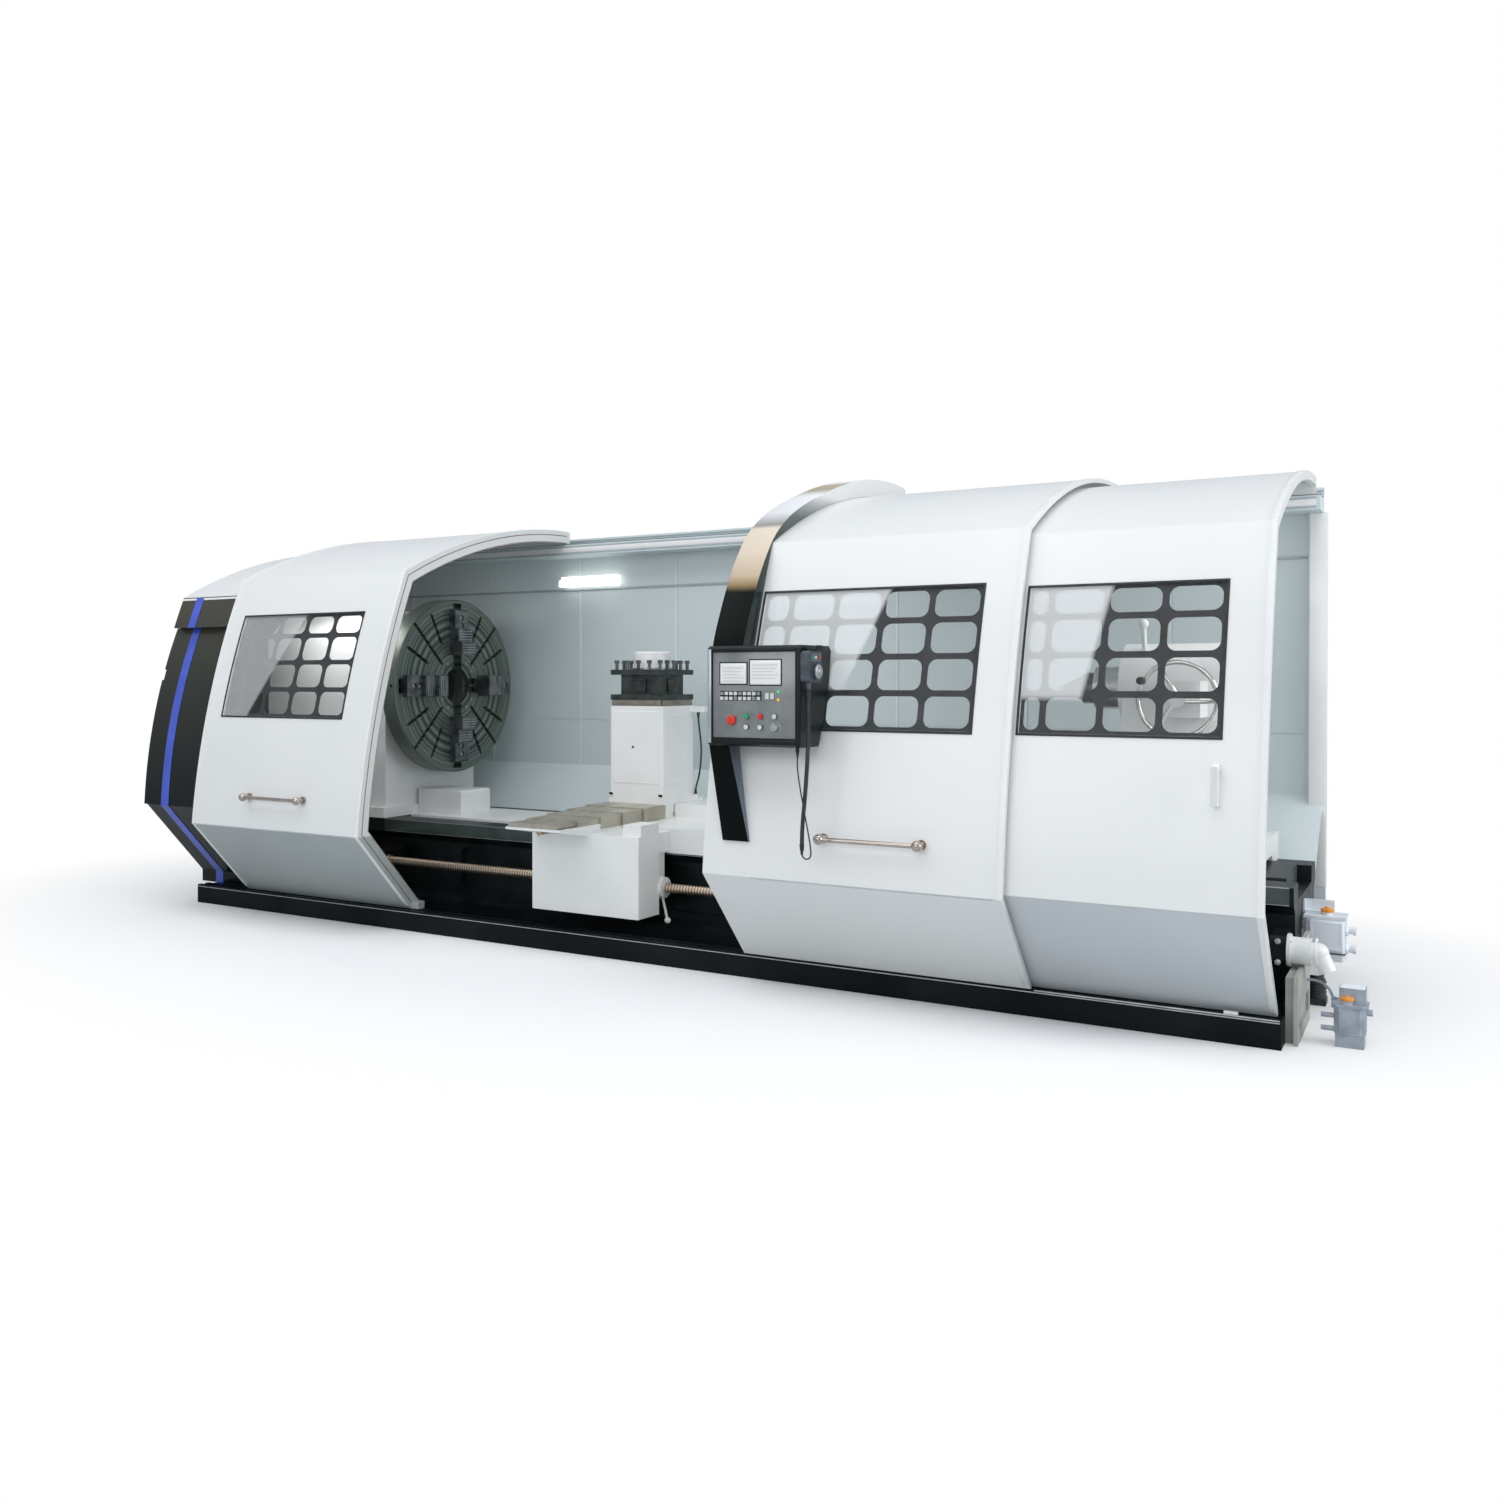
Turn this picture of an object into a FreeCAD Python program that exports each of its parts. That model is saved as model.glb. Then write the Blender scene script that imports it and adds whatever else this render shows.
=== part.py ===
"""Heavy CNC turning lathe with sliding hoods over a long black base.

Frame: X runs along the spindle from the headstock (-X) to the tailstock (+X),
-Y is the operator's side and +Z is up.  The origin is the middle of the base's
underside, on the floor.  All sizes are millimetres.
"""
import FreeCAD, Part
import math
import os

V = FreeCAD.Vector

# ---------------------------------------------------------------- driving sizes
# Base and bed
base_length = 7160.0
half_length = base_length / 2.0
base_half_width = 1000.0
base_height = 120.0
base_floor = 50.0
rail_width = 108.0
anchor_hole_radius = 14.0
anchor_x = half_length - 680.0
anchor_y = base_half_width - 240.0
bed_half_width = 520.0
bed_top = 640.0
bed_left = -half_length + 100.0
guideway_width = 190.0
guideway_height = 85.0
bed_waist = 60.0
bed_foot_reach = 80.0
bed_pocket_pitch = 820.0
bed_pocket_width = 420.0
bed_pocket_margin = 500.0
# Spindle line
spindle_height = 1568.0
spindle_radius = 130.0
spindle_bore_radius = 65.0
headstock_left = -half_length + 140.0
headstock_right = headstock_left + 1200.0
headstock_half_width = 470.0
headstock_rise = 520.0
# Chuck
chuck_face = headstock_right + 247.0
chuck_radius = 625.0
chuck_thickness = 140.0
chuck_bore_radius = 132.0
jaw_width = 150.0
jaw_channel_width = 102.0
jaw_channel_depth = 58.0
jaw_inner = 222.0
jaw_length = 330.0
jaw_rise = 118.0
jaw_screw_radius = 13.0
clamp_slot_width = 24.0
clamp_slot_depth = 36.0
# Hoods: the small skin is the outside of the left and right hoods
skirt_foot = (-base_half_width + 65.0, 130.3)
skirt_knee = (-base_half_width - 400.0, 640.0)
face_top = (-base_half_width + 25.0, 2310.0)
face_bulge = 66.0
roof_middle = (-0.31 * base_half_width, 2573.0)
roof_back = (base_half_width - 210.0, 2731.0)
hood_wall = 20.0
hood_nesting = 45.0
wall_front = base_half_width - 40.0
small_rear = wall_front - 160.0
large_rear = wall_front - 60.0
left_hood_x = (-half_length + 460.0, -half_length + 2016.0)
right_hood_x = (half_length - 1156.0, half_length - 25.0)
middle_hood_x = (right_hood_x[0] - 1499.0, right_hood_x[0] + 60.0)
mouth_frame_depth = 85.0
mouth_frame_width = 30.0
# End cover that stands inside the left hood
end_left = -half_length - 165.0
end_lap = 90.0
end_slab = 33.0
end_foot = (-base_half_width + 172.0, 205.0)
end_knee = (-base_half_width - 294.0, 728.0)
end_face = (-base_half_width - 209.0, 1356.0)
end_step = (-base_half_width - 11.0, 1985.0)
end_crease = (-base_half_width + 16.0, 2205.0)
end_roof = (-0.476 * base_half_width, 2441.0)
bar_hole_radius = 95.0
end_panel = (1985.0, 2205.0)
end_panel_depth = -32.0
end_notch = (1610.0, 1685.0)
stripe_x = (end_left + 155.0, end_left + 235.0)
stripe_thickness = 4.0
# Windows and their guard grids
window_sill = 1370.0
window_head = 2045.0
large_head_rise = 20.0
left_window_x = (left_hood_x[0] + 165.0, left_hood_x[1] - 266.0)
middle_window_x = (middle_hood_x[0] + 200.0, middle_hood_x[1] - 191.0)
right_window_x = (right_hood_x[0] + 81.0, right_hood_x[0] + 944.0)
glass_inset = 6.0
glass_thickness = 6.0
grid_inset = 14.0
grid_thickness = 6.0
grid_pitch_x = 254.0
grid_pitch_z = 178.0
grid_bar = 30.0
grid_corner = 42.0
# Handles
handle_length = 500.0
handle_radius = 12.0
handle_ball_radius = 27.0
handle_standoff = 62.0
handle_height = 843.0
handle_x = (left_hood_x[0] + 555.0, middle_hood_x[0] + 670.0)
upright_x = right_hood_x[0] + 938.0
upright_z = (1082.0, 1261.0)
# Arch band and control pendant
band_rise = 120.0
band_width = 180.0
band_foot = 800.0
band_bend = 1290.0
band_split = 1640.0
pendant_x = (middle_hood_x[0] + 119.0, middle_hood_x[0] + 628.0)
pendant_front = -base_half_width - 600.0
pendant_depth = 350.0
pendant_low = 1287.0
pendant_high = 1780.0
bezel = 26.0
panel_recess = 8.0
# Guard at the back
wall_thickness = 20.0
beam_top = 2632.0
beam_low = beam_top - 82.0
wall_top = beam_top + 50.0
wall_seam_z = 1300.0
beam_depth = 220.0
track_height = 8.0
# Carriage
carriage_middle = -380.0
saddle_reach = (400.0, 860.0)
saddle_low_gap = 0.3
saddle_top = 712.0
cross_bed_width = 400.0
cross_bed_top = 745.0
cross_bed_front = -1180.0
cross_bed_lip = 14.0
cross_bed_root = -690.0
apron_reach = (224.0, 553.0)
apron_y = (-900.0, -674.0)
apron_low = 218.0
apron_block_width = 125.0
apron_block_top = 762.0
cover_width = 455.0
cover_top = 800.0
cover_step = 9.0
cover_narrowing = 24.0
cover_sheet = 3.0
cover_count = 5
cover_lap = 34.0
column_width = 415.0
column_depth = 393.0
column_front = -80.0
column_top = 1440.0
# Square turret
turret_plate = 400.0
turret_body = 300.0
turret_low_plate = 34.0
turret_slot = 130.0
turret_top_plate = 34.0
turret_spacer = 40.0
clamp_bolt_radius = 11.0
clamp_bolt_rise = 62.0
turret_cap_radius = 125.0
turret_cap_height = 120.0
# Feed screw
feed_screw_radius = 28.0
feed_screw_y = -620.0
feed_screw_z = 370.0
feed_motor_x = half_length - 15.0
feed_screw_x = (headstock_right + 70.0, feed_motor_x - 0.3)
end_plate = 55.0
end_plate_thickness = 18.0
cross_screw_radius = 20.0
# Tailstock
tail_x = (half_length - 860.0, half_length - 220.0)
quill_radius = 115.0
quill_reach = 160.0
centre_length = 210.0
wheel_radius = 182.0
wheel_rim = 13.0
wheel_y = -560.0
wheel_x = tail_x[0] + 348.0
wheel_z = spindle_height - 51.0
# Clearances
seat = 0.3
running = 0.06
far = 4000.0

bed_right = half_length
FACE_WALL = 2000.0


# ---------------------------------------------------------------- small helpers
def box(x, y, z):
    """A block between two values on each axis."""
    return Part.makeBox(x[1] - x[0], y[1] - y[0], z[1] - z[0], V(x[0], y[0], z[0]))


def rod(start, end, radius):
    """A round bar from one point to another."""
    start, end = V(*start), V(*end)
    return Part.makeCylinder(radius, (end - start).Length, start, end - start)


def fuse(shapes):
    """One solid from several that meet."""
    whole = shapes[0]
    for shape in shapes[1:]:
        whole = whole.fuse(shape)
    return whole.removeSplitter()


def prism(points, start, end, axis="x"):
    """A closed outline of (a, b) points, extruded along one axis."""
    place = {
        "x": lambda a, b: V(start, a, b),
        "y": lambda a, b: V(a, start, b),
        "z": lambda a, b: V(a, b, start),
    }[axis]
    along = {"x": V(1, 0, 0), "y": V(0, 1, 0), "z": V(0, 0, 1)}[axis]
    corners = [place(a, b) for a, b in points]
    wire = Part.makePolygon(corners + [corners[0]])
    return Part.Face(wire).extrude(along * (end - start))


def rounded_cell(x_middle, z_middle, width, height, corner, y_from, y_to):
    """A block along Y with rounded corners, for cutting windows in a grid."""
    block = box((x_middle - width / 2, x_middle + width / 2), (y_from, y_to),
                (z_middle - height / 2, z_middle + height / 2))
    upright = [e for e in block.Edges if abs(e.tangentAt(e.FirstParameter).y) > 0.9]
    return block.makeFillet(corner, upright)


def save(name, shape):
    """Write one sub-part as a STEP file."""
    shape.exportStep("parts/%s.step" % name)
    NODES.append((name, shape))


# ---------------------------------------------------------------- hood outline
def circle_through(a, b, c):
    """Centre and radius of the circle through three (y, z) points."""
    d = 2 * (a[0] * (b[1] - c[1]) + b[0] * (c[1] - a[1]) + c[0] * (a[1] - b[1]))
    sa, sb, sc = (p[0] ** 2 + p[1] ** 2 for p in (a, b, c))
    y = (sa * (b[1] - c[1]) + sb * (c[1] - a[1]) + sc * (a[1] - b[1])) / d
    z = (sa * (c[0] - b[0]) + sb * (a[0] - c[0]) + sc * (b[0] - a[0])) / d
    return (y, z), math.hypot(a[0] - y, a[1] - z)


def bulge_point(a, b, bulge):
    """The point that stands out from the middle of a chord by the bulge."""
    length = math.hypot(b[0] - a[0], b[1] - a[1])
    return ((a[0] + b[0]) / 2 - bulge * (b[1] - a[1]) / length,
            (a[1] + b[1]) / 2 + bulge * (b[0] - a[0]) / length)


FACE_CENTRE, FACE_RADIUS = circle_through(
    skirt_knee, bulge_point(skirt_knee, face_top, face_bulge), face_top)
ROOF_CENTRE, ROOF_RADIUS = circle_through(face_top, roof_middle, roof_back)
SKIRT_LENGTH = math.hypot(skirt_knee[0] - skirt_foot[0], skirt_knee[1] - skirt_foot[1])
SKIRT_WAY = ((skirt_knee[0] - skirt_foot[0]) / SKIRT_LENGTH,
             (skirt_knee[1] - skirt_foot[1]) / SKIRT_LENGTH)
SKIRT_OUT = (-SKIRT_WAY[1], SKIRT_WAY[0])


def face_y(z, offset):
    """Where the hood's front stands at a height."""
    return FACE_CENTRE[0] - math.sqrt((FACE_RADIUS + offset) ** 2 - (z - FACE_CENTRE[1]) ** 2)


def roof_z(y, offset):
    """How high the hood's roof stands at a depth."""
    return ROOF_CENTRE[1] + math.sqrt((ROOF_RADIUS + offset) ** 2 - (y - ROOF_CENTRE[0]) ** 2)


def skirt_point(z, offset):
    """The point of the sloping skirt at a height."""
    start = (skirt_foot[0] + SKIRT_OUT[0] * offset, skirt_foot[1] + SKIRT_OUT[1] * offset)
    return (start[0] + SKIRT_WAY[0] * (z - start[1]) / SKIRT_WAY[1], z)


def knee_point(offset):
    """Where the offset skirt meets the offset front."""
    low, high = skirt_knee[1] - 200, skirt_knee[1] + 200
    for _ in range(50):
        middle = (low + high) / 2
        if skirt_point(middle, offset)[0] > face_y(middle, offset):
            low = middle
        else:
            high = middle
    return skirt_point(low, offset)


def crease_point(offset):
    """Where the offset front meets the offset roof."""
    low, high = face_top[1] - 200, face_top[1] + 200
    for _ in range(50):
        middle = (low + high) / 2
        if roof_z(face_y(middle, offset), offset) > middle:
            low = middle
        else:
            high = middle
    return (face_y(low, offset), low)


def skin_edges(offset, foot_z, rear):
    """The outline at an offset: skirt, front arc and roof arc, and its two ends."""
    foot = skirt_point(foot_z, offset)
    knee = knee_point(offset)
    crease = crease_point(offset)
    back = (rear, roof_z(rear, offset))
    face_mid = (knee[1] + crease[1]) / 2
    roof_mid = (crease[0] + back[0]) / 2
    at = lambda p: V(0, p[0], p[1])
    edges = [
        Part.makeLine(at(foot), at(knee)),
        Part.Arc(at(knee), at((face_y(face_mid, offset), face_mid)), at(crease)).toShape(),
        Part.Arc(at(crease), at((roof_mid, roof_z(roof_mid, offset))), at(back)).toShape(),
    ]
    return edges, foot, back


def skin(x, outer, inner, foot_z, rear):
    """A curved wall between two offsets of the hood outline, along X."""
    out_edges, out_foot, out_back = skin_edges(outer, foot_z, rear)
    in_edges, in_foot, in_back = skin_edges(inner, foot_z, rear)
    at = lambda p: V(0, p[0], p[1])
    edges = out_edges + [Part.makeLine(at(out_back), at(in_back))] + in_edges
    edges.append(Part.makeLine(at(in_foot), at(out_foot)))
    wire = Part.Wire(Part.__sortEdges__(edges))
    wall = Part.Face(wire).extrude(V(x[1] - x[0], 0, 0))
    wall.translate(V(x[0], 0, 0))
    return wall


def skin_block(x, offset, foot_z, rear):
    """Everything inside an offset of the hood outline, closed below and behind."""
    edges, foot, back = skin_edges(offset, foot_z, rear)
    corner = (rear, foot_z)
    at = lambda p: V(0, p[0], p[1])
    edges += [Part.makeLine(at(back), at(corner)), Part.makeLine(at(corner), at(foot))]
    block = Part.Face(Part.Wire(Part.__sortEdges__(edges))).extrude(V(x[1] - x[0], 0, 0))
    block.translate(V(x[0], 0, 0))
    return block


TRACK_TOP = beam_top + track_height
FOOT_Z = skirt_foot[1]


# ---------------------------------------------------------------- base and bed
def base_tray():
    """The long black base: a rim all round, a drip trough inside, anchor holes."""
    half = half_length
    wide = base_half_width
    body = box((-half, half), (-wide, wide), (0, base_height))
    trough = (bed_half_width + bed_foot_reach + 15, wide - rail_width)
    trough_x = (left_hood_x[0] + end_lap + 30, half - rail_width)
    for side in (-1, 1):
        y = sorted((side * trough[0], side * trough[1]))
        body = body.cut(box(trough_x, y, (base_floor, base_height + 1)))
    for x in (-anchor_x, anchor_x):
        for y in (-anchor_y, anchor_y):
            body = body.cut(rod((x, y, -1), (x, y, base_height + 1), anchor_hole_radius))
    lip = box(trough_x, (-bed_half_width - bed_foot_reach - 30,
                              -bed_half_width - bed_foot_reach - 15),
              (base_floor, base_height + 15))
    return fuse([body, lip])


def bed():
    """The cast bed: foot, waist and two guideways, with pockets between ribs."""
    half = bed_half_width
    low = bed_top - guideway_height
    foot = half + bed_foot_reach
    outline = [
        (-foot, base_height), (foot, base_height), (foot, base_height + 22),
        (half - bed_waist, base_height + 40), (half - bed_waist, low - 50),
        (half, low), (half, bed_top), (half - guideway_width, bed_top),
        (half - guideway_width, low), (-half + guideway_width, low),
        (-half + guideway_width, bed_top), (-half, bed_top), (-half, low),
        (-half + bed_waist, low - 50), (-half + bed_waist, base_height + 40),
        (-foot, base_height + 22),
    ]
    body = prism(outline, bed_left, bed_right)
    pocket_z = (base_height + 80, low - 75)
    x = bed_left + bed_pocket_margin
    while x < bed_right - bed_pocket_margin:
        for side in (-1, 1):
            face = side * (half - bed_waist)
            y = sorted((face + side, face - side * 40))
            body = body.cut(rounded_pocket(x, y, pocket_z))
        x += bed_pocket_pitch
    bracket_half = feed_screw_radius + 42
    pieces = [body]
    for x in (feed_screw_x[0] + 30, feed_motor_x - 70):
        arm = box((x, x + 70), (feed_screw_y - bracket_half, -half + bed_waist + 5),
                  (feed_screw_z - bracket_half, feed_screw_z + bracket_half))
        round_corners = [e for e in arm.Edges
                         if abs(e.tangentAt(e.FirstParameter).x) > 0.9
                         and e.CenterOfMass.y < feed_screw_y]
        pieces.append(arm.makeFillet(bracket_half * 0.6, round_corners))
    body = fuse(pieces)
    return body.cut(rod((feed_screw_x[0] - 5, feed_screw_y, feed_screw_z),
                        (feed_screw_x[1] + 5, feed_screw_y, feed_screw_z),
                        feed_screw_radius + running))


def rounded_pocket(x, y, z):
    """A shallow pocket with rounded corners in the side of the bed."""
    return rounded_cell(x, (z[0] + z[1]) / 2, bed_pocket_width, z[1] - z[0], 45, y[0], y[1])


def bed_end_cover():
    """The pale casting that closes the bed at the tailstock end, down to the floor."""
    right = half_length + end_plate
    front, back = -base_half_width + 104, -base_half_width + 637
    ledge = feed_screw_z - 67
    outline = [(front, 0), (back, 0), (back, ledge + 117), (front + 351, ledge + 117),
               (front + 351, ledge), (front, ledge)]
    plate = prism(outline, right - end_plate_thickness, right)
    web = box((half_length, right - end_plate_thickness + 1), (front + 40, back - 30),
              (0, ledge - 12))
    body = fuse([plate, web])
    rim = box((right - 12, right + 1), (front + 56, back - 57), (60, 160))
    return body.cut(rim)


def hood_tracks():
    """Flat tracks that the hoods run on: two in front and two at the back."""
    half = half_length
    tracks = []
    for offset in (0.0, hood_nesting):
        outer = skirt_point(FOOT_Z, offset)[0]
        width = hood_wall * SKIRT_LENGTH / (skirt_knee[1] - skirt_foot[1])
        tracks.append(box((-half, half), (outer - 2, outer + width + 2),
                          (base_height, FOOT_Z - seat)))
    for rear in (small_rear, large_rear):
        tracks.append(box((-half + 20, half), (rear - hood_wall - 4, rear + 4),
                          (beam_top, TRACK_TOP)))
    return Part.makeCompound(tracks)


# ---------------------------------------------------------------- spindle line
def headstock():
    """The headstock casting with its stepped gear case and bored spindle seat."""
    half = headstock_half_width
    top = spindle_height + headstock_rise
    outline = [(-half, bed_top), (half, bed_top), (half, top - 60), (half - 60, top),
               (-half + 170, top), (-half, top - 170)]
    body = prism(outline, headstock_left, headstock_right)
    nose = rod((headstock_right, 0, spindle_height), (headstock_right + 45, 0, spindle_height),
               spindle_radius + 120)
    lid = box((headstock_left + 120, headstock_right - 160), (-half + 230, half - 120),
              (top, top + 26))
    foot = box((headstock_left - 20, headstock_right + 20), (-half - 40, half + 40),
               (bed_top, bed_top + 70))
    body = fuse([body, nose, lid, foot])
    return body.cut(rod((headstock_left - 30, 0, spindle_height),
                        (headstock_right + 60, 0, spindle_height), spindle_radius + running))


def spindle():
    """The hollow spindle with the flange that carries the chuck."""
    back = chuck_face - chuck_thickness
    tube = rod((headstock_left - 60, 0, spindle_height), (back - 5, 0, spindle_height),
               spindle_radius)
    flange = rod((back - 42, 0, spindle_height), (back, 0, spindle_height),
                 spindle_radius + 85)
    body = fuse([tube, flange])
    return body.cut(rod((headstock_left - 61, 0, spindle_height), (back + 1, 0, spindle_height),
                        spindle_bore_radius))


def turned(shape, degrees):
    """A copy turned about the spindle line."""
    copy = shape.copy()
    copy.rotate(V(0, 0, spindle_height), V(1, 0, 0), degrees)
    return copy


def radial_slot(inner, outer, width, depth):
    """A round-ended slot in the chuck face that points up from the spindle line."""
    x = (chuck_face - depth, chuck_face + 1)
    block = box(x, (-width / 2, width / 2), (spindle_height + inner, spindle_height + outer))
    ends = [rod((x[0], 0, spindle_height + r), (x[1], 0, spindle_height + r), width / 2)
            for r in (inner, outer)]
    return fuse([block] + ends)


def chuck_body():
    """The four-jaw chuck: bore, jaw channels with their screws, and clamping slots."""
    back = chuck_face - chuck_thickness
    line = (0, spindle_height)
    disc = rod((back, *line), (chuck_face, *line), chuck_radius)
    rims = [e for e in disc.Edges if abs(e.Length - 2 * math.pi * chuck_radius) < 1]
    disc = disc.makeChamfer(8, rims)
    disc = disc.cut(rod((back - 1, *line), (chuck_face + 1, *line), chuck_bore_radius))
    channel_out = chuck_radius - 28
    half = jaw_channel_width / 2
    channel = box((chuck_face - jaw_channel_depth, chuck_face + 1), (-half, half),
                  (spindle_height + chuck_bore_radius - 20, spindle_height + channel_out))
    key_hole = rod((chuck_face - jaw_channel_depth + jaw_screw_radius + 1, 0,
                    spindle_height + channel_out - 1),
                   (chuck_face - jaw_channel_depth + jaw_screw_radius + 1, 0,
                    spindle_height + chuck_radius + 1), jaw_screw_radius - 2)
    screw = rod((chuck_face - jaw_channel_depth + jaw_screw_radius - 1, 0,
                 spindle_height + chuck_bore_radius + 20),
                (chuck_face - jaw_channel_depth + jaw_screw_radius - 1, 0,
                 spindle_height + channel_out), jaw_screw_radius)
    long_slot = radial_slot(chuck_radius * 0.36, chuck_radius - 14, clamp_slot_width,
                            clamp_slot_depth)
    short_slot = radial_slot(chuck_radius * 0.56, chuck_radius - 60, clamp_slot_width,
                             clamp_slot_depth)
    for quarter in range(4):
        disc = disc.cut(turned(channel, 90 * quarter))
        disc = disc.cut(turned(key_hole, 90 * quarter))
        disc = disc.cut(turned(long_slot, 45 + 90 * quarter))
        for side in (-1, 1):
            disc = disc.cut(turned(short_slot, 45 + 90 * quarter + side * 17))
    return fuse([disc] + [turned(screw, 90 * quarter) for quarter in range(4)])


def jaw(quarter):
    """One stepped chuck jaw with the tongue that runs in its channel."""
    inner = spindle_height + jaw_inner
    outer = inner + jaw_length
    face = chuck_face + seat
    tongue_low = chuck_face - jaw_channel_depth + 2 * jaw_screw_radius + seat
    half = jaw_width / 2
    steps = [(face, inner), (face + jaw_rise, inner), (face + jaw_rise, inner + 95),
             (face + jaw_rise * 0.72, inner + 95), (face + jaw_rise * 0.72, inner + 190),
             (face + jaw_rise * 0.44, inner + 190), (face + jaw_rise * 0.44, outer - 12),
             (face + jaw_rise * 0.44 - 12, outer), (face, outer)]
    body = prism(steps, -half, half, axis="y")
    tongue = box((tongue_low, face), (-jaw_channel_width / 2 + seat, jaw_channel_width / 2 - seat),
                 (inner + 4, outer - 4))
    bolts = []
    for r in (inner + 215, inner + 270):
        bolts.append(rod((face + jaw_rise * 0.44 - 26, 0, r), (face + jaw_rise, 0, r), 19))
    body = fuse([body, tongue])
    for hole in bolts:
        body = body.cut(hole)
    return turned(body, 90 * quarter)


# ---------------------------------------------------------------- feed screw
def feed_screw():
    """The long feed screw that moves the carriage, with turned-down ends."""
    x = feed_screw_x
    line = (feed_screw_y, feed_screw_z)
    shaft = rod((x[0], *line), (x[1], *line), feed_screw_radius)
    collars = [rod((x[0] + 105, *line), (x[0] + 125, *line), feed_screw_radius + 9),
               rod((feed_motor_x - 92, *line), (feed_motor_x - 72, *line),
                   feed_screw_radius + 9)]
    return fuse([shaft] + collars)


def feed_motor():
    """The white feed servo motor: flange, round body and the elbow for its cable."""
    line = (feed_screw_y, feed_screw_z)
    x = feed_motor_x
    turn = (x + 128, *line)
    outlet = (x + 163, feed_screw_y, feed_screw_z - 84)
    pieces = [
        rod((x, *line), (x + 16, *line), 76),
        rod((x + 15, *line), (x + 100, *line), 63),
        rod((x + 99, *line), turn, 44),
        Part.makeSphere(44, V(*turn)),
        rod(turn, outlet, 41),
        box((x + 92, x + 132), (feed_screw_y - 30, feed_screw_y + 10),
            (feed_screw_z - 98, feed_screw_z - 30)),
    ]
    return fuse(pieces)


# ---------------------------------------------------------------- guards
def end_outline(inset):
    """The end cover's outline, moved inwards: foot, skirt, front arc, step and roof arc."""
    back_y = wall_front - beam_depth - seat
    back_z = beam_top + 24.0 - inset
    foot = (end_foot[0] + inset, end_foot[1])
    knee = (end_knee[0] + inset, end_knee[1] + inset * 0.35)
    face = (end_face[0] + inset, end_face[1])
    step = (end_step[0] + inset, end_step[1])
    crease = (end_crease[0] + inset, end_crease[1] - inset * 0.5)
    roof = (end_roof[0] + inset * 0.3, end_roof[1] - inset)
    at = lambda p: V(0, p[0], p[1])
    edges = [
        Part.makeLine(at((foot[0], base_height)), at(foot)),
        Part.makeLine(at(foot), at(knee)),
        Part.Arc(at(knee), at(face), at(step)).toShape(),
        Part.makeLine(at(step), at(crease)),
        Part.Arc(at(crease), at(roof), at((back_y, back_z))).toShape(),
    ]
    return edges, foot, (back_y, back_z)


def end_block(x, inset):
    """Everything inside the end cover's outline."""
    edges, foot, back = end_outline(inset)
    at = lambda p: V(0, p[0], p[1])
    corner = (back[0], base_height)
    edges += [Part.makeLine(at(back), at(corner)),
              Part.makeLine(at(corner), at((foot[0], base_height)))]
    block = Part.Face(Part.Wire(Part.__sortEdges__(edges))).extrude(V(x[1] - x[0], 0, 0))
    block.translate(V(x[0], 0, 0))
    return block


def left_end_cover():
    """The black end cover that stands inside the left hood, with its stepped panel."""
    x = (end_left, left_hood_x[0] + end_lap)
    rear = wall_front + wall_thickness
    shell = end_block(x, 0).cut(end_block((x[0] + hood_wall, x[1] + 1), hood_wall))
    shell = shell.cut(box((x[0] + hood_wall, x[1] + 1), (0, rear), (0, beam_low)))
    side = box((x[0], x[0] + hood_wall), (wall_front - beam_depth - 1, rear),
               (base_height, beam_low))
    back = box((x[0], -half_length + hood_wall - seat), (wall_front, rear),
               (base_height, beam_low))
    panel = skin(x, end_panel_depth, end_panel_depth - 80, FOOT_Z, small_rear)
    panel = panel.common(box(x, (-FACE_WALL, 0), end_panel))
    slab_x = (x[0] - end_slab, x[0] + 1)
    slab = end_block(slab_x, 0).common(box(slab_x, (-FACE_WALL, 0), (end_knee[1],
                                                                     end_panel[0])))
    corner = face_y(end_notch[0], end_panel_depth) + 120
    slab = slab.cut(box((slab_x[0] - 1, x[0] - 15), (-FACE_WALL, corner), end_notch))
    body = fuse([shell, side, back, panel, slab])
    ring = rod((slab_x[0] - 12, 0, spindle_height), (x[0] + 1, 0, spindle_height),
               bar_hole_radius + 35)
    hole = rod((slab_x[0] - 13, 0, spindle_height), (x[0] + hood_wall + 1, 0, spindle_height),
               bar_hole_radius)
    return fuse([body, ring]).cut(hole)


def cover_stripe():
    """The bright stripe that follows the end cover from its top panel to the foot."""
    low = end_block(stripe_x, -stripe_thickness).cut(end_block(stripe_x, 0))
    low = low.common(box(stripe_x, (-FACE_WALL, -500), (base_height, end_panel[0] - 0.5)))
    high = skin(stripe_x, end_panel_depth + stripe_thickness, end_panel_depth, FOOT_Z,
                small_rear)
    high = high.common(box(stripe_x, (-FACE_WALL, 0), (end_panel[0], end_panel[1] - 1)))
    return Part.makeCompound([low, high])


def rear_guard():
    """The welded guard behind the bed: seamed wall, sloping panel, frame and beam."""
    x = (-half_length + hood_wall, half_length)
    y = (wall_front, wall_front + wall_thickness)
    wall = box(x, y, (base_height, wall_top))
    seam = (base_length - 224.0) / 8
    groove = 4.0
    start = left_hood_x[1] - 3 - 2 * seam
    for number in range(8):
        at = start + number * seam
        wall = wall.cut(box((at - groove, at + groove), (y[0] - 1, y[0] + groove),
                            (base_height + 60, beam_low - 1)))
    wall = wall.cut(box((x[0] + 1, x[1] - 1), (y[0] - 1, y[0] + groove),
                        (wall_seam_z, wall_seam_z + 6)))
    slope = prism([(bed_half_width + 25, bed_top - 60), (wall_front, 930), (wall_front, 955),
                   (bed_half_width + 25, bed_top - 25)], headstock_left, half_length)
    return fuse([wall, slope] + guard_frame(x))


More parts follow.
